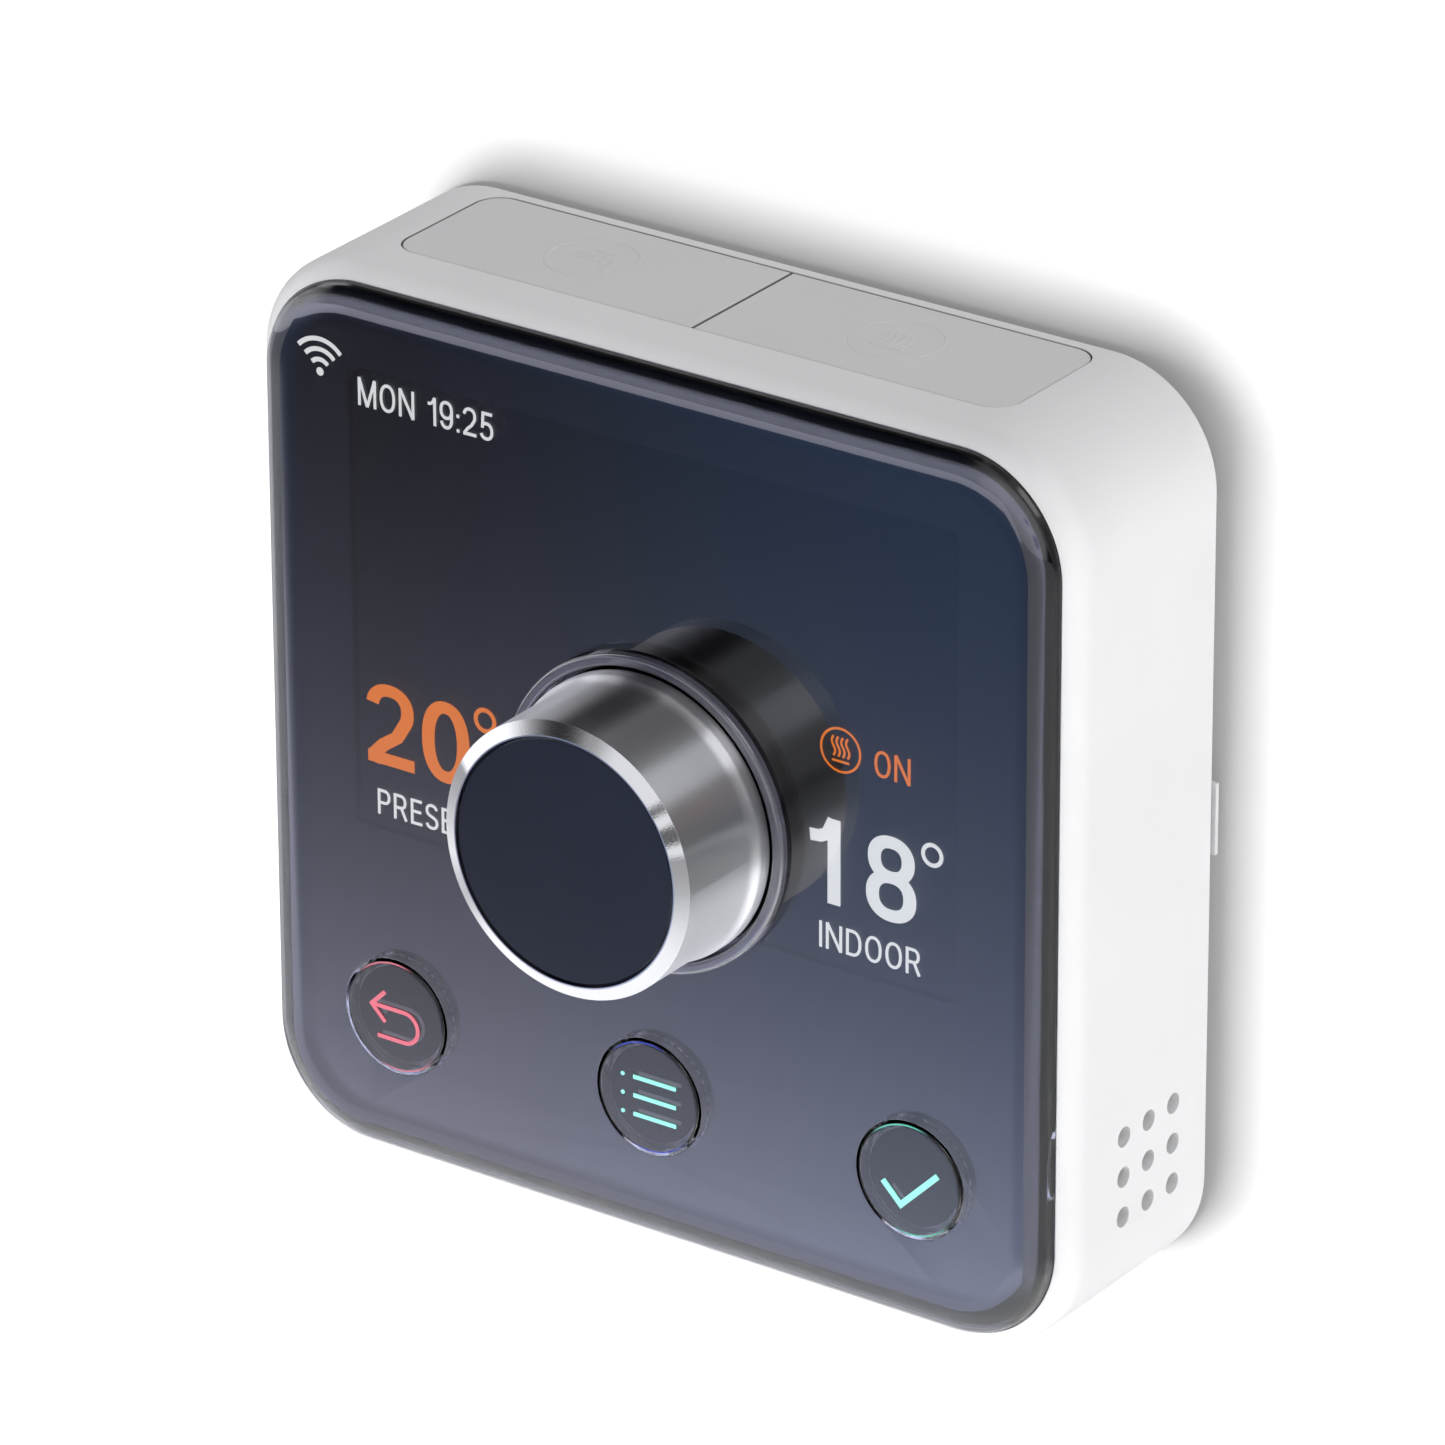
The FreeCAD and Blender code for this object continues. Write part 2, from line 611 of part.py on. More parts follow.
def make_main_casing():
    body = new_body("main_casing")
    pad(body, "casing_back", "casing_front", square("casing_half", "casing_corner"))
    round_edges(body, "casing_edge", flat_at("casing_front"))
    cut(body, "casing_back", "ledge_back", square("casing_half - wall", "casing_corner - wall"))
    cut(body, "ledge_back", "ledge_front", square("ledge_half", "ledge_corner"))
    cut(body, "ledge_front", "casing_front", square("recess_half", "recess_corner"))
    bosses = list(four("corner_boss", "corner_boss"))
    pad(body, "cover_boss_front", "ledge_front",
        *[disc(across, up, "corner_boss_radius") for across, up in bosses])
    cut(body, "cover_boss_front", "ledge_back - casing_edge * 2",
        *[disc(across, up, "screw_hole") for across, up in bosses])
    lugs = []
    for side in (-1, 1):
        for level in (-1, 1):
            middle = sided(level, "lug_up")
            ends = (sided(side, "lug_inner"), sided(side, "casing_half - wall / 2"))
            left, right = ends if side > 0 else reversed(ends)
            lugs.append(box(left, right, middle + " - lug_half", middle + " + lug_half"))
    pad(body, "board_front", "ledge_front", *lugs)
    cut(body, "board_front", "ledge_front - wall / 4",
        *[disc(across, up, "screw_hole") for across, up in four("lug_across", "lug_up")])
    cut(body, "casing_half - wall * 1.5", "casing_half + wall / 2",
        rounded("-top_half - top_gap", "top_half + top_gap", "-top_front - top_gap",
                "-top_back + top_gap", "top_corner + top_gap"), plane="XY_Plane")
    vents = []
    for column in (-1, 0, 1):
        for row in (-1, 0, 1):
            vents.append(disc("-vent_depth + vent_pitch * %d" % column,
                              "vent_low + vent_pitch * %d" % row, "vent_radius"))
    cut(body, "casing_half - wall * 1.5", "casing_half + wall / 2", *vents, plane="YZ_Plane")
    return [body]


def make_rear_cover():
    body = new_body("rear_cover")
    pad(body, "cover_back", "cover_front", square("cover_half", "cover_corner"))
    outer = "bay_half + bay_wall"
    tall = "bay_high + bay_wall"
    pad(body, "cover_front", "bay_floor + bay_wall", box(minus(outer), outer, minus(tall), tall))
    bosses = list(four("corner_boss", "corner_boss"))
    pad(body, "cover_front", "cover_boss_front",
        *[disc(across, up, "cover_boss") for across, up in bosses])
    pad(body, "cover_front", "top_board_front",
        box("shelf_inner", "shelf_outer", "shelf_low", "top_board_low"),
        box("-shelf_outer", "-shelf_inner", "shelf_low", "top_board_low"))
    cut(body, "cover_back", "bay_floor", box("-bay_half", "bay_half", "-bay_high", "bay_high"))
    slots = []
    for middle, foot in hook_places():
        slots.append(box(middle + " - hook_half - hook_gap", middle + " + hook_half + hook_gap",
                         foot + " - lift - hook_gap", foot + " + hook_stem + hook_gap"))
    cut(body, "cover_back", "cover_front", *slots)
    cut(body, "cover_back", "cover_boss_front",
        *[disc(across, up, "screw_hole") for across, up in bosses])
    cut(body, "cover_back", "sink_front", *[disc(across, up, "sink_radius") for across, up in bosses])
    cut(body, "shelf_low", "top_board_low",
        disc("top_screw", "-top_screw_depth", "small_hole"),
        disc("-top_screw", "-top_screw_depth", "small_hole"), plane="XY_Plane")
    return [body]


# ---- batteries --------------------------------------------------------------------------------

CELLS = range(4)


def cell_place(number):
    return "cell_pitch * %.1f" % (number - 1.5)


def make_batteries():
    """Four cells side by side, every second one upside down."""
    made = []
    for number in CELLS:
        body = new_body("battery_%d" % (number + 1))
        flip = number % 2
        bind(body, "Placement.Base.x", cell_place(number))
        bind(body, "Placement.Base.y", "-cell_depth")
        bind(body, "Placement.Base.z", sided(1 - 2 * flip, "bay_high - contact_thick - cell_long"))
        body.Placement.Rotation = FreeCAD.Rotation(FreeCAD.Vector(1, 0, 0), 180 * flip)
        turn(body, outline(("0", "0"), ("cell_radius", "0"), ("cell_radius", "cell_long - nub_high"),
                           ("nub_radius", "cell_long - nub_high"), ("nub_radius", "cell_long"),
                           ("0", "cell_long")), plane="XZ_Plane")

        def rims(edge):
            return edge.Closed and abs(edge.BoundBox.XLength - 2 * size("cell_radius")) < TINY
        round_edges(body, "contact_thick", rims)
        made.append(body)
    return made


def make_battery_springs():
    """One leaf spring, bent like a roof, at the flat end of each cell."""
    springs = []
    for number in CELLS:
        body = new_body("spring_%d" % (number + 1))
        flip = number % 2
        bind(body, "Placement.Base.x", cell_place(number))
        bind(body, "Placement.Base.y", "-cell_depth")
        bind(body, "Placement.Base.z", sided(2 * flip - 1, "bay_high - contact_thick"))
        body.Placement.Rotation = FreeCAD.Rotation(FreeCAD.Vector(1, 0, 0), 180 * flip)
        pad(body, "-leaf_half", "leaf_half", outline(
            ("-contact_half", "0"), ("0", "leaf_high"), ("contact_half", "0"),
            ("contact_half - leaf_foot", "0"), ("0", "leaf_high - leaf_thick"),
            ("-contact_half + leaf_foot", "0")), plane="YZ_Plane")
        springs.append(body)
    return [group("battery_springs", springs)]


def make_battery_plates():
    """A contact at both ends of each cell."""
    plates = []
    for number in CELLS:
        for end in (-1, 1):
            middle = cell_place(number)
            heights = [sided(end, "bay_high - contact_thick"), sided(end, "bay_high")]
            low, high = heights if end > 0 else reversed(heights)
            plates.append(block("plate_of_cell_%d" % (number + 1), middle + " - contact_half",
                                middle + " + contact_half", "cell_depth - contact_half",
                                "cell_depth + contact_half", low, high))
    return [group("battery_plates", plates)]


# ---- circuit board and display ----------------------------------------------------------------

def make_main_circuit_board():
    body = new_body("main_circuit_board")
    holes = [disc(across, up, "screw_hole") for across, up in four("lug_across", "lug_up")]
    pad(body, "board_back", "board_front",
        rounded("-board_half", "board_half", "-board_high", "board_high", "board_corner"), *holes)
    return [body]


def make_processor_chip():
    return [block("processor_chip", "chip_across - chip_half", "chip_across + chip_half",
                  "board_front", "chip_front", "chip_up - chip_half", "chip_up + chip_half")]


def make_radio_module():
    return [block("radio_module", "radio_across - radio_half", "radio_across + radio_half",
                  "board_front", "radio_front", "chip_up - radio_high", "chip_up + radio_high")]


def make_button_lamps():
    lamps = []
    for column in (-1, 0, 1):
        middle = "button_pitch * %d" % column
        lamps.append(block("lamp_%d" % (column + 2), middle + " - lamp_half", middle + " + lamp_half",
                           "board_front", "lamp_front", "button_up + lamp_up - lamp_half / 2",
                           "button_up + lamp_up + lamp_half / 2"))
    return [group("button_lamps", lamps)]


def make_display_contact_strip():
    return [block("display_contact_strip", "-strip_half", "strip_half", "board_front", "panel_back",
                  "strip_low", "strip_high")]


def make_display_backlight():
    body = new_body("display_backlight")
    pad(body, "light_back", "light_front",
        rounded("-panel_half", "panel_half", "light_low", "panel_high", "panel_corner"),
        disc("0", "0", "dial_hole"))
    return [body]


def make_display_panel():
    body = new_body("display_panel")
    pad(body, "panel_back", "panel_front",
        rounded("-panel_half", "panel_half", "panel_low", "panel_high", "panel_corner"),
        disc("0", "0", "dial_hole"))
    return [body]


def around_panel(room):
    """The outline of the glass, larger by some room all round."""
    return rounded("-panel_half - (%s)" % room, "panel_half + " + room, "panel_low - (%s)" % room,
                   "panel_high + " + room, "panel_corner + " + room)


def make_display_frame():
    body = new_body("display_frame")
    pad(body, "board_front", "ledge_front", around_panel("frame_gap"),
        around_panel("frame_gap + frame_wall"))
    return [body]


# ---- lens, mask and gasket --------------------------------------------------------------------

def front_button_places():
    for column in (-1, 0, 1):
        yield "button_pitch * %d" % column, "button_up"


def make_screen_mask():
    body = new_body("screen_mask")
    holes = [disc(across, up, "button_mask") for across, up in front_button_places()]
    pad(body, "mask_back", "lens_back", square("seal_half", "seal_corner"),
        rounded("window_left", "window_right", "window_low", "window_high", "window_corner"), *holes)
    return [body]


def make_lens_gasket():
    body = new_body("lens_gasket")
    pad(body, "ledge_front", "mask_back", square("seal_half", "seal_corner"),
        square("seal_inner", "seal_inner_corner"))
    return [body]


def lens_edge(sketch):
    """Outside of the lens's curved edge: a small arc at the side runs into a large one at the front."""
    half, side, front, fade, small = (size(alias) for alias in
                                      ("lens_half", "lens_side", "lens_front", "lens_fade", "lens_turn"))
    drop = front - side
    across = fade - small
    large = (across ** 2 + drop ** 2 - small ** 2) / (2 * (drop - small))
    small_centre = FreeCAD.Vector(half - small, -side, 0)
    large_centre = FreeCAD.Vector(half - fade, -front + large, 0)
    towards = (small_centre - large_centre).normalize()
    meeting = small_centre + towards * small
    right = FreeCAD.Vector(1, 0, 0)
    upright = FreeCAD.Vector(0, 0, 1)
    turned = right.getAngle(towards)
    quarter_turn = right.getAngle(FreeCAD.Vector(0, 1, 0))
    start = FreeCAD.Vector(half, -side, 0)
    end = FreeCAD.Vector(half - fade, -front, 0)
    outer = FreeCAD.Vector(half + small, -side, 0)
    corner = FreeCAD.Vector(half + small, -front - small, 0)
    inner = FreeCAD.Vector(half - fade, -front - small, 0)
    small_arc = Part.ArcOfCircle(Part.Circle(small_centre, upright, small), -turned, 0)
    large_arc = Part.ArcOfCircle(Part.Circle(large_centre, upright, large), -quarter_turn, -turned)
    assert (meeting - small_arc.StartPoint).Length < TINY
    for piece in (small_arc, Part.LineSegment(start, outer), Part.LineSegment(outer, corner),
                  Part.LineSegment(corner, inner), Part.LineSegment(inner, end), large_arc):
        sketch.addGeometry(piece, False)
    sketch.addConstraint(Sketcher.Constraint("Tangent", 0, 1, 5, 2))
    for here, point, there, other in ((0, 2, 1, 1), (1, 2, 2, 1), (2, 2, 3, 1), (3, 2, 4, 1), (4, 2, 5, 1)):
        sketch.addConstraint(Sketcher.Constraint("Coincident", here, point, there, other))
    fix_radius(sketch, 0, "lens_turn")
    fix(sketch, "DistanceX", 0, 2, "lens_half")
    fix(sketch, "DistanceY", 0, 2, "-lens_side")
    fix(sketch, "DistanceY", 0, 3, "-lens_side")
    fix(sketch, "DistanceX", 5, 1, "lens_half - lens_fade")
    fix(sketch, "DistanceY", 5, 1, "-lens_front")
    fix(sketch, "DistanceX", 5, 3, "lens_half - lens_fade")
    fix(sketch, "DistanceX", 1, 2, "lens_half + lens_turn")
    fix(sketch, "DistanceY", 1, 2, "-lens_side")
    fix(sketch, "DistanceX", 2, 2, "lens_half + lens_turn")
    fix(sketch, "DistanceY", 2, 2, "-lens_front - lens_turn")
    fix(sketch, "DistanceX", 3, 2, "lens_half - lens_fade")
    fix(sketch, "DistanceY", 3, 2, "-lens_front - lens_turn")


def make_front_lens():
    body = new_body("front_lens")
    pad(body, "lens_back", "lens_front", square("lens_half", "lens_corner"))
    profile = sketch_on(body, "XY_Plane", "0", [lens_edge])
    path = sketch_on(body, "XZ_Plane", "lens_side", [square("lens_half", "lens_corner")])
    edge = body.newObject("PartDesign::SubtractivePipe", "CurvedEdge")
    edge.Profile = profile
    edge.Spine = path
    cut(body, "lens_back", "lens_front",
        *[disc(across, up, "button_hole") for across, up in front_button_places()],
        disc("0", "0", "bush_hole"))
    return [body]


# ---- encoder and dial -------------------------------------------------------------------------

def make_encoder():
    """Body, bush, washer, nut and push piece of the rotary encoder."""
    body = new_body("encoder_body")
    pad(body, "board_front", "encoder_front",
        box("-encoder_half", "encoder_half", "-encoder_half", "encoder_half"))
    cut(body, "encoder_floor", "encoder_front", disc("0", "0", "encoder_well"))
    bush = new_body("encoder_bush")
    pad(bush, "encoder_front", "bush_front", disc("0", "0", "bush_radius"), disc("0", "0", "bush_bore"))
    washer = new_body("encoder_washer")
    pad(washer, "lens_front", "washer_front",
        disc("0", "0", "washer_radius"), disc("0", "0", "bush_hole"))
    nut = new_body("encoder_nut")
    corners = [("nut_corner * cos(%d)" % (60 * step), "nut_corner * sin(%d)" % (60 * step))
               for step in range(6)]
    pad(nut, "washer_front", "nut_front", outline(*corners), disc("0", "0", "bush_hole"))
    plunger = rod("encoder_plunger", "0", "0", "plunger_radius", "plunger_back", "shaft_back")
    return [body, bush, washer, nut, plunger]


def make_dial_collar():
    body = new_body("dial_collar")
    pad(body, "lens_front", "collar_front", disc("0", "0", "collar_outer"),
        disc("0", "0", "collar_inner"))
    round_edges(body, "collar_round", flat_at("collar_front"))
    return [body]


def make_dial_shaft():
    body = new_body("dial_shaft")
    pad(body, "shaft_back", "shaft_front", disc("0", "0", "shaft_radius"))
    cut(body, "shaft_flat_back", "shaft_front",
        box("shaft_flat", "shaft_radius * 2", "-shaft_radius * 2", "shaft_radius * 2"))
    return [body]


def make_dial_hub():
    body = new_body("dial_hub")
    pad(body, "hub_back", "cap_back", disc("0", "0", "hub_radius"))
    pad(body, "shaft_flat_back", "hub_back", disc("0", "0", "hub_neck"))
    cut(body, "shaft_flat_back", "shaft_front", disc("0", "0", "shaft_radius"))
    return [body]


def make_dial_knob():
    body = new_body("dial_knob")
    turn(body, outline(
        ("knob_bore", "-knob_back"), ("foot_radius", "-knob_back"), ("foot_radius", "-foot_front"),
        ("knob_radius", "-flare_front"), ("knob_radius", "-bevel_back"),
        ("bevel_radius", "-knob_front"), ("cap_radius", "-knob_front"), ("cap_radius", "-cap_back"),
        ("knob_bore", "-cap_back")))
    round_edges(body, "flare_round", ring_at("knob_radius", "flare_front"))
    round_edges(body, "foot_round", ring_at("foot_radius", "foot_front"))
    return [body]


def make_dial_cap():
    body = new_body("dial_cap")
    pad(body, "cap_back", "cap_front", disc("0", "0", "cap_radius"))
    bevel_edges(body, "cap_bevel", flat_at("cap_front"))
    return [body]


# ---- front buttons ----------------------------------------------------------------------------

def back_picture(across, up):
    """An arrow that points left, with a tail that turns back below it."""
    body = new_body("back_picture", across, up)
    half = "picture_stroke / 2"
    level = "turn_up + turn_radius"
    below = "turn_up - turn_radius"
    pad(body, "button_front", "picture_front", disc("turn_across", "turn_up", "turn_radius + " + half),
        disc("turn_across", "turn_up", "turn_radius - " + half))
    cut(body, "button_front", "picture_front",
        box("turn_across - turn_radius * 2", "turn_across", below + " - turn_radius",
            level + " + turn_radius"))
    pad(body, "button_front", "picture_front",
        box("arrow_tip + picture_skew", "turn_across", level + " - " + half, level + " + " + half),
        box("arrow_tail", "turn_across", below + " - " + half, below + " + " + half))
    pad(body, "button_front", "picture_front", outline(
        ("arrow_tip - 2 * picture_skew", level),
        ("arrow_tip + arrow_head - picture_skew", level + " - arrow_head - picture_skew"),
        ("arrow_tip + arrow_head + picture_skew", level + " - arrow_head + picture_skew"),
        ("arrow_tip + 2 * picture_skew", level),
        ("arrow_tip + arrow_head + picture_skew", level + " + arrow_head - picture_skew"),
        ("arrow_tip + arrow_head - picture_skew", level + " + arrow_head + picture_skew")))
    return body


def menu_picture(across, up):
    """Three bars, each with a dot at its left end."""
    marks = []
    for row in (-1, 0, 1):
        middle = "%s + menu_up + menu_step * %d" % (up, row)
        marks.append(block("menu_bar_%d" % (row + 2), across + " + menu_left", across + " + menu_right",
                           "button_front", "picture_front", middle + " - picture_stroke / 2",
                           middle + " + picture_stroke / 2"))
        marks.append(rod("menu_dot_%d" % (row + 2), across + " + menu_dot", middle,
                         "picture_stroke / 2", "button_front", "picture_front"))
    return group("menu_picture", marks)


def confirm_picture(across, up):
    """A tick, both of whose strokes slope at 45 degrees."""
    body = new_body("confirm_picture", across, up)
    start = "tick_low + tick_short"
    end = "tick_low + tick_long"
    pad(body, "button_front", "picture_front", outline(
        ("tick_across - tick_short - tick_skew", start + " - tick_skew"),
        ("tick_across", "tick_low - 2 * tick_skew"),
        ("tick_across + tick_long + tick_skew", end + " - tick_skew"),
        ("tick_across + tick_long - tick_skew", end + " + tick_skew"),
        ("tick_across", "tick_low + 2 * tick_skew"),
        ("tick_across - tick_short + tick_skew", start + " + tick_skew")))
    return body


def make_front_buttons():
    """Three round buttons, each with its picture, its insert and its switch."""
    made = []
    pictures = (back_picture, menu_picture, confirm_picture)
    for name, picture, (across, up) in zip(("back", "menu", "confirm"), pictures, front_button_places()):
        cap = new_body(name + "_button", across, up)
        turn(cap, outline(
            ("0", "-button_window"), ("button_bore", "-button_window"), ("button_bore", "-flange_back"),
            ("button_flange", "-flange_back"), ("button_flange", "-flange_front"),
            ("button_radius", "-flange_front"), ("button_radius", "-button_front"),
            ("0", "-button_front")))
        round_edges(cap, "button_round", ring_at("button_radius", "button_front"))
        insert = new_body(name + "_insert", across, up)
        pad(insert, "insert_back", "button_window", disc("0", "0", "insert_radius"))
        pad(insert, "pusher_front", "insert_back", disc("0", "0", "insert_stem"))
        switch = new_body(name + "_switch", across, up)
        pad(switch, "board_front", "switch_front",
            box("-switch_half", "switch_half", "-switch_half", "switch_half"))
        cut(switch, "switch_floor", "switch_front", disc("0", "0", "switch_well"))
        pusher = rod(name + "_switch_plunger", across, up, "pusher_radius", "pusher_back", "pusher_front")
        made += [cap, picture(across, up), insert, switch, pusher]
    return made


# ---- top buttons ------------------------------------------------------------------------------

def make_top_buttons():
    """Two buttons in the top wall, mirror images of each other, with their switches."""
    made = []
    for name, sign in (("hot_water", -1), ("heating", 1)):
        def area(inner, outer, rear, front):
            """A rectangle on this button's side, seen from above."""
            across = (inner, outer) if sign > 0 else (minus(outer), minus(inner))
            return box(*across, minus(front), minus(rear))
        middle = sided(sign, "top_switch")
        cap = new_body(name + "_button")
        pad(cap, "top_plate", "casing_half", area("top_seam", "top_half", "top_back", "top_front"),
            plane="XY_Plane")
        outer_end = sided(sign, "top_half")
        round_edges(cap, "top_corner", lambda edge: upright_at(outer_end, "top_back")(edge)
                    or upright_at(outer_end, "top_front")(edge))
        round_edges(cap, "top_rim", level_at("casing_half"))
        pad(cap, "top_low", "top_plate", area("skirt_inner", "skirt_outer", "skirt_back", "skirt_front"),
            plane="XY_Plane")
        pad(cap, "top_low", "top_flange",
            area("skirt_inner", "skirt_outer + flange_grow", "skirt_back", "skirt_front + flange_grow"),
            plane="XY_Plane")
        cut(cap, "top_low", "top_flange",
            area("skirt_inner + skirt_wall", "skirt_outer - skirt_wall", "skirt_back + skirt_wall",
                 "skirt_front - skirt_wall"), plane="XY_Plane")
        pad(cap, "top_low", "top_flange", disc(middle, "-top_depth", "top_stem"), plane="XY_Plane")
        switch = new_body(name + "_switch")
        pad(switch, "top_board_high", "top_switch_high",
            area("top_switch - switch_half", "top_switch + switch_half", "top_depth - switch_half",
                 "top_depth + switch_half"), plane="XY_Plane")
        cut(switch, "top_switch_floor", "top_switch_high", disc(middle, "-top_depth", "switch_well"),
            plane="XY_Plane")
        pusher = pole(name + "_switch_plunger", middle, "top_depth", "pusher_radius",
                      "top_pusher_low", "top_low")
        made += [cap, switch, pusher]
    return made


def make_top_button_board():
    body = new_body("top_button_board")
    pad(body, "top_board_low", "top_board_high",
        box("-top_board_half", "top_board_half", "-top_board_front", "-top_board_back"),
        disc("top_screw", "-top_screw_depth", "small_hole"),
        disc("-top_screw", "-top_screw_depth", "small_hole"), plane="XY_Plane")
    return [body]


def make_top_board_cable():
    """A ribbon under the top board that turns down onto the circuit board."""
    body = new_body("top_board_cable")
    pad(body, "-ribbon_half", "ribbon_half", outline(
        ("-ribbon_back", "top_board_low"), ("-board_back", "top_board_low"),
        ("-board_back", "ribbon_low"), ("-board_back + ribbon", "ribbon_low"),
        ("-board_back + ribbon", "top_board_low - ribbon"), ("-ribbon_back", "top_board_low - ribbon")),
        plane="YZ_Plane")
    return [body]


# ---- temperature sensor -----------------------------------------------------------------------

def make_sensor():
    """A small board beside the ventilation holes, its bead and its ribbon."""
    board = block("sensor_board", "sensor_left", "sensor_right", "cover_front", "sensor_front",
                  "sensor_low", "sensor_high")
    stalk = doc.addObject("Part::Cylinder", "bead_stalk")
    stalk.Placement.Rotation = FreeCAD.Rotation(FreeCAD.Vector(0, 1, 0), 90)
    bind(stalk, "Height", "bead_stand")
    bind(stalk, "Radius", "bead_radius")
    bind(stalk, "Placement.Base.x", "sensor_right")
    tip = doc.addObject("Part::Sphere", "bead_tip")
    bind(tip, "Radius", "bead_radius")
    bind(tip, "Placement.Base.x", "sensor_right + bead_stand")
    for piece in (stalk, tip):
        bind(piece, "Placement.Base.y", "-vent_depth")
        bind(piece, "Placement.Base.z", "vent_low")
    far_half = block("far_half", "sensor_right", "sensor_right + bead_radius * 4",
                     "vent_depth - bead_radius * 2", "vent_depth + bead_radius * 2",
                     "vent_low - bead_radius * 2", "vent_low + bead_radius * 2")
    round_end = doc.addObject("Part::Common", "round_end")
    round_end.Base = fused("bead", stalk, tip)
    round_end.Tool = far_half
    round_end.Label = "temperature_sensor"
    ribbon = new_body("sensor_cable")
    pad(ribbon, "sensor_ribbon_low", "sensor_ribbon_high", outline(
        ("sensor_left", "-sensor_ribbon_back"), ("sensor_left", "-board_back"),
        ("sensor_ribbon_end", "-board_back"), ("sensor_ribbon_end", "-board_back + ribbon"),
        ("sensor_left - ribbon", "-board_back + ribbon"),
        ("sensor_left - ribbon", "-sensor_ribbon_back")), plane="XY_Plane")
    return [board, round_end, ribbon]


# ---- screws -----------------------------------------------------------------------------------

def screw_from_behind(across, up, head_front, tip):
    """A screw whose head points to the wall."""
    head = rod("head", across, up, "head_radius", head_front + " - head_high", head_front)
    shank = rod("shank", across, up, "screw_radius", head_front, tip)
    slot = block("slot", across + " - head_radius * 2", across + " + head_radius * 2",
                 head_front + " - head_high * 2", head_front + " - head_high + driver_slot",
                 up + " - driver_slot / 2", up + " + driver_slot / 2")
    return less("screw", fused("blank", head, shank), slot)


def make_screws():
    casing = [screw_from_behind(across, up, "sink_front", "sink_front + casing_screw")
              for across, up in four("corner_boss", "corner_boss")]
    board = [screw_from_behind(across, up, "board_back", "board_front + wall")
             for across, up in four("lug_across", "lug_up")]
    top = []
    for side in (-1, 1):
        across = sided(side, "top_screw")
        head = pole("head", across, "top_screw_depth", "small_head", "top_board_high",
                    "top_board_high + top_head_high")
        shank = pole("shank", across, "top_screw_depth", "small_screw", "top_screw_low",
                     "top_board_high")
        slot = block("slot", across + " - small_head * 2", across + " + small_head * 2",
                     "top_screw_depth - driver_slot / 2", "top_screw_depth + driver_slot / 2",
                     "top_board_high + top_head_high - driver_slot",
                     "top_board_high + top_head_high * 2")
        top.append(less("screw", fused("blank", head, shank), slot))
    return [group("casing_screws", casing), group("board_screws", board), group("top_board_screws", top)]


# ---- build, test and write --------------------------------------------------------------------

def build():
    for make in (make_wall_plate, make_main_casing, make_rear_cover, make_batteries,
                 make_battery_springs, make_battery_plates, make_main_circuit_board,
                 make_processor_chip, make_radio_module, make_button_lamps,
                 make_display_contact_strip, make_display_backlight, make_display_panel,
                 make_display_frame, make_screen_mask, make_lens_gasket, make_front_lens,
                 make_encoder, make_dial_collar, make_dial_shaft, make_dial_hub, make_dial_knob,
                 make_dial_cap, make_front_buttons, make_top_buttons, make_top_button_board,
                 make_top_board_cable, make_sensor, make_screws):
        sub_parts.extend(make())
    doc.recompute()


def test():
    """Stop at any failed object, any pocket that cuts nothing and any bad shape."""
    for item in doc.Objects:
        if "Invalid" in item.State or "Error" in item.State:
            raise RuntimeError("%s (%s) failed: %s" % (item.Label, item.Name, item.State))
        if item.TypeId in ("PartDesign::Pocket", "PartDesign::SubtractivePipe"):
            if item.Shape.Volume > item.BaseFeature.Shape.Volume - TINY:
                raise RuntimeError("%s in %s cuts nothing" % (item.Name, item.getParentGroup().Label))
    for item in sub_parts:
        if item.Shape.isNull() or not item.Shape.isValid() or not item.Shape.Solids:
            raise RuntimeError("%s has no sound shape" % item.Label)


def write():
    os.makedirs("parts", exist_ok=True)
    for item in sub_parts:
        item.Shape.exportStep("parts/%s.step" % item.Label)
        limits = item.Shape.BoundBox
        print("%-24s %2d solid(s) %10.2f mm3  x %7.2f %7.2f  y %7.2f %7.2f  z %7.2f %7.2f" % (
            item.Label, len(item.Shape.Solids), item.Shape.Volume, limits.XMin, limits.XMax,
            limits.YMin, limits.YMax, limits.ZMin, limits.ZMax))
    print(len(sub_parts), "sub-parts")


fill_sheet()
build()
test()
write()
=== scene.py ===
"""Looks of the wall thermostat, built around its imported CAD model. The object's lengths are in
millimetres: x to the viewer's right, z up, and d the distance out from the wall (y = -d).
Lengths of the stage, its lights and the camera are in metres."""

import math

import bmesh
import bpy
from mathutils import Matrix, Vector


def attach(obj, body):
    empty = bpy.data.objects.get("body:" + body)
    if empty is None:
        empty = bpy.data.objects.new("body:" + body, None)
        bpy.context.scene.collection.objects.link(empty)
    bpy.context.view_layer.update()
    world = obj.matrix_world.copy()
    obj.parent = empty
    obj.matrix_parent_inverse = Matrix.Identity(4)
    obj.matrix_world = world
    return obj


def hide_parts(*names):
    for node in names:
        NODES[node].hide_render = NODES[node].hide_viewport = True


MM = 0.001
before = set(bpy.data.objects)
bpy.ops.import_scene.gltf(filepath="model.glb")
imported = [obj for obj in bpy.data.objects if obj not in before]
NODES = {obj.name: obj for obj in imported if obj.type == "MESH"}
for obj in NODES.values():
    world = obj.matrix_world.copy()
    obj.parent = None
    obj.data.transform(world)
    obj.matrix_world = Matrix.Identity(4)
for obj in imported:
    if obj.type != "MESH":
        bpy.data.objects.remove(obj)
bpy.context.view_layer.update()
SCENE = bpy.context.scene


# ---------------------------------------------------------------- node helpers

